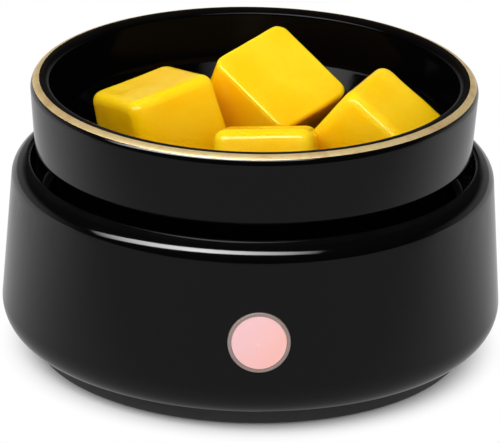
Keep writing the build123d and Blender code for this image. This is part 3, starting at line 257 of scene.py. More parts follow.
class Shader:
    """The node tree of one material or of the world."""

    def __init__(self, tree):
        self.tree = tree

    def node(self, kind, settings=None, values=None, output=0):
        """Any node: its settings first, then the values or links of its sockets."""
        made = self.tree.nodes.new(kind)
        for name, value in (settings or {}).items():
            setattr(made, name, value)
        for name, value in (values or {}).items():
            self.feed(made.inputs[name], value)
        return Socket(self, made.outputs[output])

    def feed(self, target, value):
        """Give a socket a link or a plain value."""
        if isinstance(value, Socket):
            self.tree.links.new(value.output, target)
        else:
            target.default_value = value

    def place(self, centre=(0, 0, 0), stretch=(1, 1, 1)):
        """Object coordinates, moved so that centre is their origin, then stretched."""
        point = self.node("ShaderNodeTexCoord", output="Object")
        moved = self.node("ShaderNodeMapping", {"vector_type": "POINT"},
                          {"Vector": point, "Location": [-part for part in centre]})
        return self.node("ShaderNodeMapping", {"vector_type": "POINT"}, {"Vector": moved, "Scale": stretch})

    def noise(self, point, scale, detail, rough=0.5, warp=0.0):
        """Cloudy noise between nothing and one; scale is in waves per metre."""
        return self.node("ShaderNodeTexNoise", None, {
            "Vector": point, "Scale": scale, "Detail": detail, "Roughness": rough, "Distortion": warp})

    def cells(self, point, scale):
        """Distance to the nearest of scattered points."""
        return self.node("ShaderNodeTexVoronoi", {"feature": "F1"}, {"Vector": point, "Scale": scale})

    def specks(self, point, scale, reach, patches, patch_reach):
        """Small round specks, only where slower noise lets them be."""
        dots = self.fall(self.cells(point, scale), *reach)
        return dots * self.span(self.noise(point, patches, detail=1), *patch_reach)

    def axes(self, point):
        """The three parts of a point."""
        return [self.node("ShaderNodeSeparateXYZ", None, {0: point}, output=part) for part in range(3)]

    def span(self, value, low, high, to_low=0.0, to_high=1.0):
        """Smooth step of a value from one span to another."""
        return self.node("ShaderNodeMapRange", {"interpolation_type": "SMOOTHSTEP"}, {
            "Value": value, "From Min": low, "From Max": high, "To Min": to_low, "To Max": to_high})

    def fall(self, value, low, high):
        """Smooth step down from one to nothing."""
        return self.span(value, low, high, 1, 0)

    def mix(self, factor, first, second):
        """Blend of two colours."""
        return self.node("ShaderNodeMix", {"data_type": "RGBA"}, {0: factor, 6: first, 7: second}, output=2)

    def bump(self, height, distance, strength):
        """Normal from a height between nothing and one."""
        return self.node("ShaderNodeBump", None, {
            "Height": height, "Distance": distance, "Strength": strength})

    def shown(self, ray, other, seen):
        """One shader for one kind of ray and another for the rest."""
        kind = self.node("ShaderNodeLightPath", output=ray)
        return self.node("ShaderNodeMixShader", None, {0: kind, 1: other, 2: seen})


def opaque(shade):
    """A colour with its alpha."""
    return (*shade[:3], 1.0)


def finish_of(name, **constants):
    """Shader and surface of a new material, with the surface's constants set."""
    material = bpy.data.materials.new(FINISH + name)
    material.use_nodes = True
    shader = Shader(material.node_tree)
    surface = material.node_tree.nodes["Principled BSDF"]
    for socket, value in constants.items():
        surface.inputs[socket.replace("_", " ")].default_value = value
    return shader, surface


def wear(shader, surface, base, rough, normal):
    """Link what changes over the surface."""
    for socket, value in (("Base Color", base), ("Roughness", rough), ("Normal", normal)):
        shader.feed(surface.inputs[socket], value)


# Finishes
def black_glaze(colours, name, edge_height, gloss):
    """Glossy black glaze: slow waves, orange peel, pin holes, and a thin brown-black line at the edge."""
    thin_reach = 1.2 * MM
    shader, surface = finish_of(name, IOR=1.5, Specular_IOR_Level=gloss)
    point = shader.place()
    waves = shader.noise(point, scale=55, detail=2)
    peel = shader.noise(point, scale=420, detail=1)
    clouds = shader.noise(point, scale=95, detail=4, rough=0.6)
    height = shader.axes(point)[2]
    thin = shader.span(height, edge_height - thin_reach, edge_height) * clouds
    pin_holes = shader.specks(point, scale=260, reach=(0.03, 0.07), patches=130, patch_reach=(0.6, 0.66))
    base = shader.mix(thin, opaque(colours.glaze), opaque(colours.glaze_thin))
    rough = 0.05 + clouds * 0.05 + pin_holes * 0.3
    relief = waves * 0.6 + peel * 0.16 - pin_holes * 0.4
    wear(shader, surface, base, rough, shader.bump(relief, distance=0.12 * MM, strength=0.5))


def gilding(colours):
    """Brushed-on gold, a little thinner in streaks along the rim."""
    shader, surface = finish_of("gilding", Metallic=0.58, Specular_IOR_Level=0.9)
    point = shader.place()
    streaks = shader.noise(point, scale=160, detail=4, rough=0.65)
    grain = shader.noise(point, scale=1400, detail=2)
    base = shader.mix(shader.span(streaks, 0.4, 0.75), opaque(colours.gold), opaque(colours.gold_worn))
    rough = 0.26 + streaks * 0.1 + grain * 0.03
    relief = streaks * 0.5 + grain * 0.1
    wear(shader, surface, base, rough, shader.bump(relief, distance=0.015 * MM, strength=0.5))


def yellow_wax(colours):
    """Fragrant wax: clouded body, frosted skin, small air pits, and painted shade that turns the melts deeper
    orange towards the bottom.
    """
    shade_below, unshaded_above, unevenness = 50 * MM, 70 * MM, 8 * MM
    shader, surface = finish_of(
        "yellow_wax", Subsurface_Weight=0.6, Subsurface_Radius=(6 * MM, 3.5 * MM, 0.4 * MM),
        Subsurface_Scale=1.0, IOR=1.44, Specular_IOR_Level=0.32)
    point = shader.place()
    clouds = shader.noise(point, scale=70, detail=4, rough=0.6, warp=0.3)
    frost = shader.noise(point, scale=700, detail=3, rough=0.7)
    holes = shader.specks(point, scale=330, reach=(0.06, 0.16), patches=150, patch_reach=(0.58, 0.64))
    paler = shader.span(clouds, 0.35, 0.7) * (0.4 + frost * 0.6)
    height = shader.axes(point)[2] + (clouds - 0.5) * unevenness
    # Painted shade: the wax turns deeper orange lower down on each melt and fades back to its own colour
    # higher up
    deep = shader.fall(height, shade_below, unshaded_above)
    base = shader.mix(paler, opaque(colours.wax), opaque(colours.wax_frost))
    base = shader.mix(deep, base, opaque(colours.wax_painted_shade))
    rough = 0.12 + frost * 0.14 + holes * 0.2
    relief = clouds * 0.4 + frost * 0.14 - holes * 0.6
    wear(shader, surface, base, rough, shader.bump(relief, distance=0.12 * MM, strength=0.6))


def milky_cap(colours):
    """Milky cap lit from behind, warmest low on its right."""
    slant, unevenness = 0.7, 4 * MM
    shader, surface = finish_of(
        "milky_cap", Emission_Strength=0.27, Subsurface_Weight=0.2,
        Subsurface_Radius=(2 * MM, 1 * MM, 0.8 * MM), Subsurface_Scale=1.0)
    centre = (CAP_LOW + CAP_HIGH) / 2
    x, _, z = shader.axes(shader.place(centre=(centre.x, CAP_LOW.y, centre.z)))
    radius = (CAP_HIGH.x - CAP_LOW.x) / 2
    cloud = shader.noise(shader.place(), scale=260, detail=3)
    across = x - z * slant + (cloud - 0.5) * unevenness
    near = shader.span(across, -radius, radius)
    glow = shader.mix(near, opaque(colours.cap_far), opaque(colours.cap_glow))
    shader.feed(surface.inputs["Emission Color"], glow)
    grain = shader.noise(shader.place(), scale=3000, detail=2)
    wear(shader, surface, opaque(colours.cap), 0.3 + grain * 0.12,
         shader.bump(grain, distance=0.01 * MM, strength=0.5))


def moulded(name, base, darker, rough, grain_scale, grain_depth):
    """Moulded plastic or rubber with a fine mould grain and slow tone changes."""
    shader, surface = finish_of(name)
    point = shader.place()
    tone = shader.noise(point, scale=120, detail=4, rough=0.6)
    grain = shader.noise(point, grain_scale, detail=3, rough=0.6)
    wear(shader, surface, shader.mix(tone, opaque(base), opaque(darker)),
         rough + grain * 0.14 + tone * 0.05, shader.bump(grain, grain_depth, strength=0.8))


def sheet_metal(name, base, darker, rough, stretch):
    """Rolled or plated metal with fine lines along one way."""
    shader, surface = finish_of(name, Metallic=1.0)
    lines = shader.noise(shader.place(stretch=stretch), scale=900, detail=3)
    tone = shader.noise(shader.place(), scale=90, detail=4, rough=0.6)
    wear(shader, surface, shader.mix(tone, opaque(base), opaque(darker)),
         rough + lines * 0.16 + tone * 0.08, shader.bump(lines, distance=0.01 * MM, strength=0.6))


def turned_plate():
    """Heating plate: lathe rings, scuffs from the dish's foot, and heat tint towards the middle."""
    tinted, bare, scuffed = (0.6, 0.57, 0.52, 1), (0.68, 0.69, 0.71, 1), (0.42, 0.42, 0.43, 1)
    foot_in, foot_middle, foot_out = 34 * MM, 38 * MM, 42 * MM
    tint_in, tint_out = 10 * MM, 46 * MM
    shader, surface = finish_of("plate_aluminium", Metallic=1.0)
    point = shader.place()
    x, y, _ = shader.axes(point)
    out = (x * x + y * y) ** 0.5
    ring_point = shader.node("ShaderNodeCombineXYZ", None, {0: out, 1: 0.0, 2: 0.0})
    rings = shader.noise(ring_point, scale=2600, detail=2)
    scuffs = shader.noise(shader.place(stretch=(1, 6, 1)), scale=160, detail=5, rough=0.7)
    foot = shader.span(out, foot_in, foot_middle) * shader.fall(out, foot_middle, foot_out)
    tint = shader.span(out, tint_in, tint_out)
    base = shader.mix(tint, tinted, bare)
    base = shader.mix(foot * scuffs, base, scuffed)
    rough = 0.24 + rings * 0.18 + scuffs * 0.1 + foot * 0.08
    wear(shader, surface, base, rough, shader.bump(rings, distance=0.02 * MM, strength=0.7))


def flecked(name, base, fleck, rough, scale, low, high):
    """Pressed fibre, mica, ceramic or glass with flecks of a second colour."""
    shader, surface = finish_of(name)
    point = shader.place()
    cells = shader.cells(point, scale)
    grain = shader.noise(point, scale * 3, detail=3, rough=0.6)
    flecks = shader.fall(cells + grain * 0.3, low, high)
    relief = cells * 0.5 + grain * 0.3
    wear(shader, surface, shader.mix(flecks, opaque(base), opaque(fleck)),
         rough + grain * 0.15, shader.bump(relief, distance=0.05 * MM, strength=0.6))


def circuit_green():
    """Circuit board with copper tracks under the green mask."""
    mask, track = (0.012, 0.11, 0.05, 1), (0.04, 0.24, 0.11, 1)
    shader, surface = finish_of("green_board")
    point = shader.place()
    tracks = shader.node("ShaderNodeTexBrick", {"offset": 0.5, "squash": 1.0}, {
        "Vector": point, "Scale": 160, "Mortar Size": 0.06, "Color1": BLACK, "Color2": BLACK,
        "Mortar": WHITE}, output="Fac")
    mottle = shader.noise(point, scale=260, detail=3)
    relief = tracks * 0.6 + mottle * 0.2
    wear(shader, surface, shader.mix(tracks, mask, track), 0.28 + mottle * 0.2,
         shader.bump(relief, distance=0.04 * MM, strength=0.8))


def white_sleeving():
    """Braided heat-proof sleeving."""
    thread, gap = (0.86, 0.85, 0.8, 1), (0.6, 0.58, 0.52, 1)
    shader, surface = finish_of("white_sleeving", Sheen_Weight=0.3)
    one, other = [
        shader.node("ShaderNodeTexWave", {"bands_direction": "DIAGONAL"}, {
            "Vector": shader.place(stretch=(side, 1, 1)), "Scale": 900, "Distortion": 0.4})
        for side in (1, -1)]
    braid = one * other
    wear(shader, surface, shader.mix(braid, gap, thread), 0.6 + braid * 0.2,
         shader.bump(braid, distance=0.1 * MM, strength=0.8))


def make_finishes(colours):
    """Make every finish under its name."""
    for place, edge, gloss in (
            ("base", SHELL_HIGH, colours.glaze_gloss),
            ("dish", DISH_HIGH, colours.glaze_gloss),
            ("inside", DISH_HIGH, colours.inner_gloss)):
        black_glaze(colours, "black_glaze_" + place, edge.z, gloss)
    gilding(colours)
    yellow_wax(colours)
    milky_cap(colours)
    turned_plate()
    circuit_green()
    white_sleeving()
    # Name, colour, darker colour, roughness and how the lines are stretched
    metals = (
        ("zinc_steel", (0.62, 0.63, 0.65), (0.5, 0.5, 0.5), 0.24, (1, 1, 8)),
        ("shield_aluminium", (0.72, 0.73, 0.75), (0.6, 0.6, 0.62), 0.28, (1, 9, 1)),
        ("ribbon_steel", (0.5, 0.5, 0.52), (0.36, 0.33, 0.3), 0.3, (9, 1, 1)),
    )
    # Name, colour, flecks' colour, roughness, flecks' scale, and where they are in full and gone
    fibres = (
        ("gasket_fibre", (0.82, 0.8, 0.74), (0.62, 0.6, 0.54), 0.75, 700, 0.2, 0.5),
        ("mica", (0.58, 0.47, 0.3), (0.72, 0.62, 0.45), 0.35, 420, 0.2, 0.45),
        ("cutout_ceramic", (0.84, 0.82, 0.77), (0.7, 0.68, 0.62), 0.55, 500, 0.1, 0.3),
        ("fuse_glass", (0.7, 0.73, 0.72), (0.8, 0.82, 0.8), 0.08, 90, 0.2, 0.6),
    )
    # Name, colour, darker colour, roughness, grain's scale and depth
    plastics = (
        ("black_plastic", (0.022, 0.022, 0.024), (0.014, 0.014, 0.015), 0.34, 1700, 0.03 * MM),
        ("foot_rubber", (0.04, 0.04, 0.043), (0.024, 0.024, 0.026), 0.66, 1300, 0.05 * MM),
        ("gland_rubber", (0.02, 0.02, 0.022), (0.012, 0.012, 0.013), 0.55, 1500, 0.03 * MM),
        ("bezel_plastic", colours.bezel, [0.8 * part for part in colours.bezel], 0.26, 2200, 0.01 * MM),
        ("relay_blue", (0.02, 0.1, 0.36), (0.015, 0.075, 0.28), 0.3, 1700, 0.02 * MM),
        ("capacitor_yellow", (0.7, 0.46, 0.05), (0.58, 0.36, 0.03), 0.3, 1600, 0.02 * MM),
        ("capacitor_sleeve", (0.02, 0.022, 0.05), (0.012, 0.013, 0.03), 0.2, 1500, 0.01 * MM),
        ("terminal_green", (0.03, 0.27, 0.11), (0.02, 0.2, 0.08), 0.34, 1700, 0.02 * MM),
        ("socket_white", (0.82, 0.8, 0.74), (0.7, 0.68, 0.6), 0.36, 1700, 0.02 * MM),
        ("switch_red", (0.55, 0.03, 0.02), (0.42, 0.02, 0.015), 0.3, 1700, 0.01 * MM),
        ("lamp_coral", (0.9, 0.36, 0.28), (0.8, 0.26, 0.2), 0.12, 900, 0.01 * MM),
        ("grey_lead", (0.34, 0.34, 0.36), (0.26, 0.26, 0.28), 0.45, 1400, 0.02 * MM),
    )
    for make, table in ((sheet_metal, metals), (flecked, fibres), (moulded, plastics)):
        for values in table:
            make(*values)


def finish_named(name):
    """A finish that the first operator has made."""
    material = bpy.data.materials.get(FINISH + name)
    if material is None:
        raise RuntimeError("the finishes come before the pieces that wear them")
    return material


def dress(worn):
    """Give each CAD node its finish and leave its mesh alone."""
    for node, finish in worn.items():
        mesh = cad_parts[node].data
        mesh.materials.clear()
        mesh.materials.append(finish_named(finish))


def mesh_object(name, shape):
    """Turn a bmesh into an object of the scene at the origin."""
    mesh = bpy.data.meshes.new(name)
    shape.to_mesh(mesh)
    shape.free()
    made = bpy.data.objects.new(name, mesh)
    bpy.context.scene.collection.objects.link(made)
    return made


def new_piece(name, shape, worn, body, stands_for):
    """Turn a bmesh into a named piece that wears its finishes and rides its body."""
    piece = mesh_object(name, shape)
    for face in piece.data.polygons:
        face.use_smooth = True
    for finish in worn:
        piece.data.materials.append(finish_named(finish))
    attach(piece, body)
    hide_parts(*stands_for)


def round_edges(shape, edges, radius, segments):
    """Bevel the edges with a round profile."""
    bmesh.ops.bevel(shape, geom=edges, offset=radius, offset_type="OFFSET", segments=segments,
                    profile=ROUND, affect="EDGES", material=-1, clamp_overlap=True)


def remeshed(shape, grain):
    """The shape again, with an even mesh of a given spacing."""
    worker = mesh_object("working", shape)
    modifier = worker.modifiers.new("working", "REMESH")
    modifier.mode = "VOXEL"
    modifier.voxel_size = grain
    result = bmesh.new()
    result.from_object(worker, bpy.context.evaluated_depsgraph_get())
    mesh = worker.data
    bpy.data.objects.remove(worker)
    bpy.data.meshes.remove(mesh)
    return result


# Turned pieces
def turned(profile, sizes):
    """Spin a profile of radius, height and rounding about the middle."""
    shape = bmesh.new()
    verts = [shape.verts.new((out, 0, height)) for out, height, _ in profile]
    shape.faces.new(verts)
    for vert, (_, _, rounding) in zip(verts, profile):
        if rounding:
            before, after = [edge.other_vert(vert).co - vert.co for edge in vert.link_edges]
            reach = rounding / math.tan(before.angle(after) / 2)
            bmesh.ops.bevel(shape, geom=[vert], offset=reach, offset_type="OFFSET",
                            segments=sizes.round_steps, profile=ROUND, affect="VERTICES", material=-1,
                            clamp_overlap=False)
    bmesh.ops.delete(shape, geom=list(shape.faces), context="FACES_ONLY")
    core = [edge for edge in shape.edges if all(vert.co.x == 0 for vert in edge.verts)]
    bmesh.ops.delete(shape, geom=core, context="EDGES")
    bmesh.ops.spin(shape, geom=list(shape.verts) + list(shape.edges), cent=(0, 0, 0), axis=(0, 0, 1),
                   angle=2 * math.pi, steps=sizes.turn_steps, use_merge=True, use_duplicate=False)
    bmesh.ops.remove_doubles(shape, verts=shape.verts, dist=MERGE)
    bmesh.ops.recalc_face_normals(shape, faces=shape.faces)
    sharpen(shape)
    return shape


def sharpen(shape):
    """Shade edges sharp where two faces meet at a clear angle."""
    for edge in shape.edges:
        if len(edge.link_faces) == 2 and edge.calc_face_angle() > SHARP:
            edge.smooth = False


def crown_profile(sizes, outer, inner, cut):
    """Profile of the base's rim above the cut, rounded over from the leaning wall to the well."""
    top = SHELL_HIGH.z
    mouth = inner + (top - cut) * math.tan(sizes.well_lean)
    little = sizes.crown_inner_round
    touch_r = mouth + little + little * math.cos(sizes.crown_turn)
    touch_z = top - little + little * math.sin(sizes.crown_turn)
    rise = 1 / math.tan(sizes.crown_turn)
    lean = math.tan(sizes.base_lean)
    wall_r = (outer - (touch_z + touch_r * rise - cut) * lean) / (1 - rise * lean)
    return [
        (outer, cut, 0),
        (wall_r, touch_z + (touch_r - wall_r) * rise, sizes.crown_round),
        (mouth, touch_z + (touch_r - mouth) * rise, little),
        (inner, cut, 0),
    ]


def crowned_base(sizes):
    """Copy of the CAD base, cut below its rim, with a fuller crown turned onto it."""
    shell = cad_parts["base_shell"]
    shape = bmesh.new()
    shape.from_mesh(shell.data)
    shape.transform(shell.matrix_world)
    bmesh.ops.remove_doubles(shape, verts=shape.verts, dist=MERGE)
    cut = SHELL_HIGH.z - sizes.crown_cut
    bmesh.ops.bisect_plane(shape, geom=[*shape.verts, *shape.edges, *shape.faces], dist=MERGE,
                           plane_co=(0, 0, cut), plane_no=(0, 0, 1), clear_outer=True)
    radii = [vert.co.xy.length for vert in shape.verts
             if vert.is_boundary and abs(vert.co.z - cut) < LEVEL]
    sharpen(shape)
    crown = turned(crown_profile(sizes, max(radii), min(radii), cut), sizes)
    ring = bpy.data.meshes.new("working")
    crown.to_mesh(ring)
    crown.free()
    shape.from_mesh(ring)
    bpy.data.meshes.remove(ring)
    return shape


def bend(centre, radius, start, end):
    """Corner of a profile whose rounding runs round a centre from one angle to another."""
    half = (end - start) / 2
    reach = radius / math.cos(half)
    return centre.x + reach * math.cos(start + half), centre.y + reach * math.sin(start + half), radius


def on_arc(centre, radius, turn):
    """Plain point of a profile on the arc round a centre."""
    return centre.x + radius * math.cos(turn), centre.y + radius * math.sin(turn), 0


class RimCorner:
    """The rounding of the rim's outer corner, and where the gilding starts and ends on it."""

    def __init__(self, sizes):
        self.rim, self.top = DISH_HIGH.x, DISH_HIGH.z
        wall_height = self.top - DISH_LOW.z - sizes.dish_ledge
        self.lean = math.atan(sizes.dish_lean / wall_height)
        # The leaning wall is narrower at the rounding, so the box is narrower than the rim's sharp corner
        self.sharp = self.rim + sizes.rim_round * (1 / math.cos(self.lean) + math.tan(self.lean) - 1)
        self.round = sizes.rim_round
        self.centre = Vector((self.rim - self.round, self.top - self.round))
        self.low = math.asin(1 - sizes.gilt_side / self.round)
        self.high = math.acos((self.sharp - sizes.gilt_top - self.centre.x) / self.round)


def dish_profile(sizes):
    """Profile of the dish from its underside round the rim to its floor."""
    corner = RimCorner(sizes)
    under = DISH_LOW.z + sizes.foot_ring_drop
    ledge = DISH_LOW.z + sizes.dish_ledge
    spigot = corner.sharp - sizes.spigot_gap
    mouth = corner.sharp - sizes.dish_rim
    step = spigot - sizes.dish_wall
    deep = corner.round - sizes.gilt_seat
    return [
        (0, under, 0),
        (sizes.foot_ring_in, under, 0),
        (sizes.foot_ring_in, DISH_LOW.z, sizes.foot_round),
        (sizes.foot_ring_out, DISH_LOW.z, sizes.foot_round),
        (sizes.foot_ring_out, under, 0),
        (spigot - sizes.spigot_taper, under, sizes.spigot_round),
        (spigot, ledge, 0),
        (corner.sharp - sizes.dish_lean, ledge, sizes.ledge_round),
        bend(corner.centre, corner.round, -corner.lean, corner.low),
        on_arc(corner.centre, corner.round, corner.low),
        on_arc(corner.centre, deep, corner.low),
        bend(corner.centre, deep, corner.low, corner.high),
        on_arc(corner.centre, deep, corner.high),
        on_arc(corner.centre, corner.round, corner.high),
        bend(corner.centre, corner.round, corner.high, math.pi / 2),
        (mouth, corner.top, sizes.rim_inner_round),
        (mouth - sizes.dish_lean, ledge + sizes.shoulder_lift, sizes.step_round),
        (step, ledge + sizes.step_lift, sizes.step_round),
        (step - sizes.spigot_taper, under + sizes.dish_floor, sizes.floor_round),
        (0, under + sizes.dish_floor, 0),
    ]


def gilt_profile(sizes):
    """Profile of the gilding in its seat."""
    corner = RimCorner(sizes)
    deep = corner.round - sizes.gilt_seat
    return [
        on_arc(corner.centre, corner.round, corner.low),
        bend(corner.centre, corner.round, corner.low, corner.high),
        on_arc(corner.centre, corner.round, corner.high),
        on_arc(corner.centre, deep, corner.high),
        bend(corner.centre, deep, corner.low, corner.high),
        on_arc(corner.centre, deep, corner.low),
    ]


# Wax melts
def melt_shape(sizes):
    """One melt as cast, its small face up, with rounded edges and an even fine mesh."""
    shape = bmesh.new()
    bmesh.ops.create_cube(shape, size=1.0)
    bmesh.ops.scale(shape, vec=(sizes.melt_big, sizes.melt_big, sizes.melt_height), verts=shape.verts)
    upper = [vert for vert in shape.verts if vert.co.z > 0]
    taper = sizes.melt_small / sizes.melt_big
    bmesh.ops.scale(shape, vec=(taper, taper, 1), verts=upper)
    half = sizes.melt_height / 2
    uprights = [edge for edge in shape.edges if abs(edge.verts[0].co.z - edge.verts[1].co.z) > half]
    round_edges(shape, uprights, sizes.melt_corner, sizes.melt_corner_steps)
    for side, radius in ((half, sizes.melt_crown), (-half, sizes.melt_edge)):
        level = [edge for edge in shape.edges
                 if all(abs(vert.co.z - side) < LEVEL for vert in edge.verts)]
        round_edges(shape, level, radius, sizes.melt_edge_steps)
    return remeshed(shape, sizes.melt_grain)


def settle(shape, sizes, seed):
    """Sunken faces and the unevenness that cooling leaves, different on each melt."""
    for _ in range(sizes.melt_softening):
        bmesh.ops.smooth_vert(shape, verts=shape.verts, factor=sizes.melt_soft,
                              use_axis_x=True, use_axis_y=True, use_axis_z=True)
    shape.normal_update()
    half = Vector((sizes.melt_big, sizes.melt_big, sizes.melt_height)) / 2
    shift = Vector([seed * part for part in MELT_SHIFT])
    for vert in shape.verts:
        across = sorted(abs(vert.co[axis] / half[axis]) for axis in range(3))
        middle = (1 - min(across[0], 1) ** 2) * (1 - min(across[1], 1) ** 2)
        wave = noise.noise(vert.co / sizes.melt_wave_span + shift)
        ripple = noise.noise(vert.co / sizes.melt_ripple_span + shift)
        out = wave * sizes.melt_wave + ripple * sizes.melt_ripple - middle * sizes.melt_sink
        vert.co += vert.normal * out


def lay(shape, tilt_of, node):
    """Turn a melt as it lies, about Z first, and put it where the CAD melt is."""
    low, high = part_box(node)
    bmesh.ops.rotate(shape, matrix=Euler(tilt_of, "ZYX").to_matrix(), verts=shape.verts)
    spans = [[vert.co[axis] for vert in shape.verts] for axis in range(3)]
    middle = Vector([(min(span) + max(span)) / 2 for span in spans])
    bmesh.ops.translate(shape, vec=(low + high) / 2 - middle, verts=shape.verts)


class WARMER_OT_finishes(Operator):
    """Make every finish of the warmer"""

    bl_idname = "warmer.finishes"
    bl_label = "Finishes"

    def execute(self, context):
        make_finishes(context.scene.warmer_colours)
        return {"FINISHED"}


class WARMER_OT_wax_melts(Operator):
    """Model the four wax melts as they lie in the dish"""

    bl_idname = "warmer.wax_melts"
    bl_label = "Wax Melts"

    def execute(self, context):
        sizes = context.scene.warmer_sizes
        for seed, side in enumerate(MELTS):
            node = "wax_melt_" + side
            shape = melt_shape(sizes)
            settle(shape, sizes, seed)
            lay(shape, getattr(sizes, side + "_tilt"), node)
            new_piece("wax_block_" + side, shape, ["yellow_wax"], node + "_body", [node])
        return {"FINISHED"}


class WARMER_OT_melt_dish(Operator):
    """Turn the melt dish, its foot ring and the seat of its gilding, and glaze it"""

    bl_idname = "warmer.melt_dish"
    bl_label = "Melt Dish"

    def execute(self, context):
        sizes = context.scene.warmer_sizes
        shape = turned(dish_profile(sizes), sizes)
        mouth = RimCorner(sizes).sharp - sizes.dish_rim
        for face in shape.faces:
            middle = face.calc_center_median()
            inside = middle.xy.length < mouth + sizes.rim_inner_round
            face.material_index = int(inside and middle.z > DISH_LOW.z + sizes.dish_floor)
        new_piece("glazed_dish", shape, ["black_glaze_dish", "black_glaze_inside"], "melt_dish",
                  ["melt_dish"])
        return {"FINISHED"}


class WARMER_OT_gilding(Operator):
    """Turn the band of gilding round the rim's outer corner"""

    bl_idname = "warmer.gilding"
    bl_label = "Gilding"

    def execute(self, context):
        sizes = context.scene.warmer_sizes
        shape = turned(gilt_profile(sizes), sizes)
        new_piece("gilded_rim", shape, ["gilding"], "melt_dish", ["gilt_rim_band"])
        return {"FINISHED"}


class WARMER_OT_glazed_base(Operator):
    """Give the base its full rounded crown and glaze it"""

    bl_idname = "warmer.glazed_base"
    bl_label = "Glazed Base"

    def execute(self, context):
        shape = crowned_base(context.scene.warmer_sizes)
        new_piece("glazed_base", shape, ["black_glaze_base"], "warmer_base", ["base_shell"])
        return {"FINISHED"}


class WARMER_OT_button(Operator):
    """Finish the lit button, its bezel and its works"""

    bl_idname = "warmer.button"
    bl_label = "Button"

    def execute(self, context):
        dress({
            "button_cap": "milky_cap",
            "button_holder": "bezel_plastic",
            "switch_plunger": "switch_red",
            "tact_switch": "black_plastic",
            "button_board": "green_board",
            "indicator_lamps": "lamp_coral",
            "button_board_screws": "zinc_steel",
            "button_lead": "grey_lead",
        })
        return {"FINISHED"}


class WARMER_OT_underside(Operator):
    """Finish the bottom cover, its screws, the feet, the gland and the cord clamp"""

    bl_idname = "warmer.underside"
    bl_label = "Underside"

    def execute(self, context):
        dress({
            "bottom_cover": "black_plastic",
            "cover_screws": "zinc_steel",
            "rubber_feet": "foot_rubber",
            "cord_gland": "gland_rubber",
            "cord_clamp": "black_plastic",
            "clamp_screws": "zinc_steel",
        })
        return {"FINISHED"}


class WARMER_OT_heater(Operator):
    """Finish the heating plate and what is clamped under it"""

    bl_idname = "warmer.heater"
    bl_label = "Heater"

    def execute(self, context):
        dress({
            "heating_plate": "plate_aluminium",
            "plate_gasket": "gasket_fibre",
            "mica_sheet_upper": "mica",
            "heater_ribbon": "ribbon_steel",
            "mica_sheet_lower": "mica",
            "heater_blades": "zinc_steel",
            "clamp_plate": "zinc_steel",
            "upper_standoffs": "zinc_steel",
            "heat_shield": "shield_aluminium",
            "lower_standoffs": "zinc_steel",
            "thermal_cutout": "cutout_ceramic",
            "cutout_clip": "zinc_steel",
            "clip_screws": "zinc_steel",
            "heater_lead": "white_sleeving",
            "cutout_link": "white_sleeving",
            "cutout_lead": "white_sleeving",
        })
        return {"FINISHED"}


class WARMER_OT_control_board(Operator):
    """Finish the control board and what is on it"""

    bl_idname = "warmer.control_board"
    bl_label = "Control Board"

    def execute(self, context):
        dress({
            "control_board": "green_board",
            "board_screws": "zinc_steel",
            "relay": "relay_blue",
            "film_capacitor": "capacitor_yellow",
            "storage_capacitor": "capacitor_sleeve",
            "timer_chip": "black_plastic",
            "fuse": "fuse_glass",
            "terminal_block": "terminal_green",
            "lead_socket": "socket_white",
        })
        return {"FINISHED"}


# Stage
def towards(turn, rise):
    """Direction from the object to a place round it and above it."""
    return Vector((math.sin(turn) * math.cos(rise), -math.cos(turn) * math.cos(rise), math.sin(rise)))


def camera_axes(stage):
    """The level direction to the right, and the camera's own right, up and back directions."""
    back = towards(stage.azimuth, stage.elevation)
    right = Vector((math.cos(stage.azimuth), math.sin(stage.azimuth), 0))
    up = back.cross(right)
    rolled_right = right * math.cos(stage.roll) + up * math.sin(stage.roll)
    rolled_up = up * math.cos(stage.roll) - right * math.sin(stage.roll)
    return right, rolled_right, rolled_up, back


def add_camera(stage):
    """Camera at the photograph's angle."""
    data = bpy.data.cameras.new("camera")
    data.sensor_width = SENSOR_WIDTH
    data.lens = stage.lens_px / PHOTO_WIDTH * SENSOR_WIDTH
    data.clip_start = stage.clip_near
    data.clip_end = stage.clip_far
    camera = bpy.data.objects.new("camera", data)
    right, rolled_right, rolled_up, back = camera_axes(stage)
    place = right * stage.focus_side + Vector((0, 0, stage.focus_height)) + back * stage.distance
    facing = Matrix((rolled_right, rolled_up, back)).transposed().to_4x4()
    camera.matrix_world = Matrix.Translation(place) @ facing
    bpy.context.scene.collection.objects.link(camera)
    bpy.context.scene.camera = camera


def add_lamp(name, azimuth, elevation, distance, size, power, spread=180, roll=0, seen_in_gloss=False,
             lights=True):
    """Soft lamp that points at the object, with its angles in degrees."""
    data = bpy.data.lights.new(name, "AREA")
    data.shape = "RECTANGLE"
    data.size, data.size_y = size
    data.energy = power
    data.spread = math.radians(spread)
    lamp = bpy.data.objects.new(name, data)
    back = towards(math.radians(azimuth), math.radians(elevation))
    lamp.location = back * distance + Vector((0, 0, DISH_LOW.z))
    lean = Quaternion((0, 0, 1), math.radians(roll))
    lamp.rotation_euler = (back.to_track_quat("Z", "Y") @ lean).to_euler()
    lamp.visible_glossy = seen_in_gloss
    lamp.visible_diffuse = lights
    bpy.context.scene.collection.objects.link(lamp)


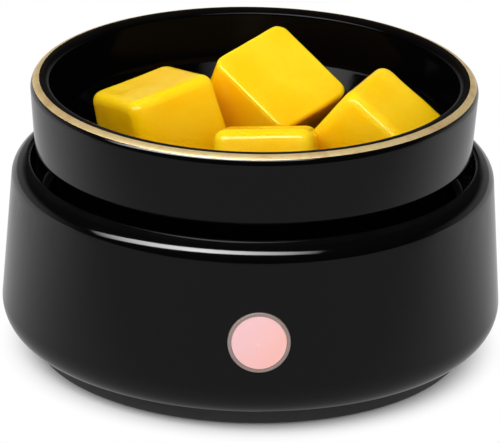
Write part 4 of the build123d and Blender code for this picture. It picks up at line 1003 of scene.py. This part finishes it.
def floor_finish(stage):
    """Pale floor with the shadow, plain white farther out, and in reflections dark far in front."""
    material = bpy.data.materials.new("floor")
    material.use_nodes = True
    shader = Shader(material.node_tree)
    nodes = material.node_tree.nodes
    nodes.remove(nodes["Principled BSDF"])
    x, y, _ = shader.axes(shader.place())
    out = (x * x + y * y) ** 0.5
    albedo = opaque([stage.floor_albedo] * 3)
    lit = shader.node("ShaderNodeBsdfDiffuse", None, {"Color": albedo})
    plain = shader.node("ShaderNodeEmission", None, {"Color": WHITE, "Strength": 1.0})
    camera = shader.node("ShaderNodeLightPath", output="Is Camera Ray")
    fade = shader.span(out, stage.white_from, stage.white_to)
    seen = shader.node("ShaderNodeMixShader", None, {0: camera * fade, 1: lit, 2: plain})
    front = shader.span(y, -stage.grey_to, -stage.grey_from, 0.0, stage.front_grey)
    grey = front + shader.span(y, stage.lighter_from, stage.lighter_to, 0.0, stage.back_grey)
    mirrored = shader.node("ShaderNodeEmission", None, {"Color": grey, "Strength": 1.0})
    final = shader.shown("Is Glossy Ray", seen, mirrored)
    shader.feed(nodes["Material Output"].inputs["Surface"], final)
    return material


def add_floor(stage):
    """Large plain floor at the feet."""
    shape = bmesh.new()
    bmesh.ops.create_grid(shape, x_segments=1, y_segments=1, size=stage.floor_size / 2)
    floor = mesh_object("floor", shape)
    floor.data.materials.append(floor_finish(stage))


def add_world(stage):
    """Even light, white to the camera and dim in reflections."""
    world = bpy.data.worlds.new("world")
    world.use_nodes = True
    bpy.context.scene.world = world
    shader = Shader(world.node_tree)
    direction = shader.node("ShaderNodeTexCoord", output="Generated")
    _, depth, rise = shader.axes(direction)
    behind = shader.span(depth, stage.behind_from, stage.behind_to)
    sky = shader.span(rise, math.sin(stage.sky_from), math.sin(stage.sky_to),
                      stage.horizon_gloss, stage.sky_gloss)
    backdrop = shader.span(rise, math.sin(stage.back_from), math.sin(stage.back_to),
                           stage.world_gloss, stage.above_gloss)
    mirrored = sky * (1 - behind) + backdrop * behind
    light, plain, dim = [
        shader.node("ShaderNodeBackground", None, {"Color": WHITE, "Strength": strength})
        for strength in (stage.world_light, 1.0, mirrored)]
    final = shader.shown("Is Glossy Ray", shader.shown("Is Camera Ray", light, plain), dim)
    shader.feed(world.node_tree.nodes["World Output"].inputs["Surface"], final)


class WARMER_OT_stage(Operator):
    """Set up the camera, the lamps, the floor and the world"""

    bl_idname = "warmer.stage"
    bl_label = "Stage"

    def execute(self, context):
        stage = context.scene.warmer_stage
        add_camera(stage)
        add_floor(stage)
        add_world(stage)
        add_lamp("key_softbox", azimuth=-32, elevation=50, distance=1.1, size=(0.95, 0.22), power=5.5)
        add_lamp("front_softbox", azimuth=-8, elevation=20, distance=1.3, size=(1.4, 0.8), power=5)
        add_lamp("gloss_card", azimuth=-32, elevation=44, distance=1.1, size=(2.6, 0.34), power=13.5,
                 spread=100, roll=17, seen_in_gloss=True, lights=False)
        context.scene.view_settings.view_transform = "Standard"
        return {"FINISHED"}


class WARMER_PT_panel(Panel):
    """Panel that lists the warmer's operators"""

    bl_label = "Wax Melt Warmer"
    bl_idname = "WARMER_PT_panel"
    bl_space_type = "VIEW_3D"
    bl_region_type = "UI"
    bl_category = "Warmer"

    def draw(self, context):
        for operator in OPERATORS:
            self.layout.operator(operator.bl_idname)


OPERATORS = (
    WARMER_OT_finishes,
    WARMER_OT_glazed_base,
    WARMER_OT_melt_dish,
    WARMER_OT_gilding,
    WARMER_OT_wax_melts,
    WARMER_OT_button,
    WARMER_OT_underside,
    WARMER_OT_heater,
    WARMER_OT_control_board,
    WARMER_OT_stage,
)
GROUPS = {"warmer_sizes": WarmerSizes, "warmer_colours": WarmerColours, "warmer_stage": WarmerStage}


def register():
    """Register the property groups, the operators and the panel."""
    for name, group in GROUPS.items():
        bpy.utils.register_class(group)
        setattr(bpy.types.Scene, name, PointerProperty(type=group))
    for item in (*OPERATORS, WARMER_PT_panel):
        bpy.utils.register_class(item)


def unregister():
    """Take back what register did."""
    for item in reversed((*OPERATORS, WARMER_PT_panel)):
        bpy.utils.unregister_class(item)
    for name, group in reversed(GROUPS.items()):
        delattr(bpy.types.Scene, name)
        bpy.utils.unregister_class(group)


def main():
    """Register the property groups, the operators and the panel, and run every operator in order."""
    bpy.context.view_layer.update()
    register()
    for operator in OPERATORS:
        getattr(bpy.ops.warmer, operator.bl_idname.split(".")[1])()


if __name__ == "__main__":
    main()
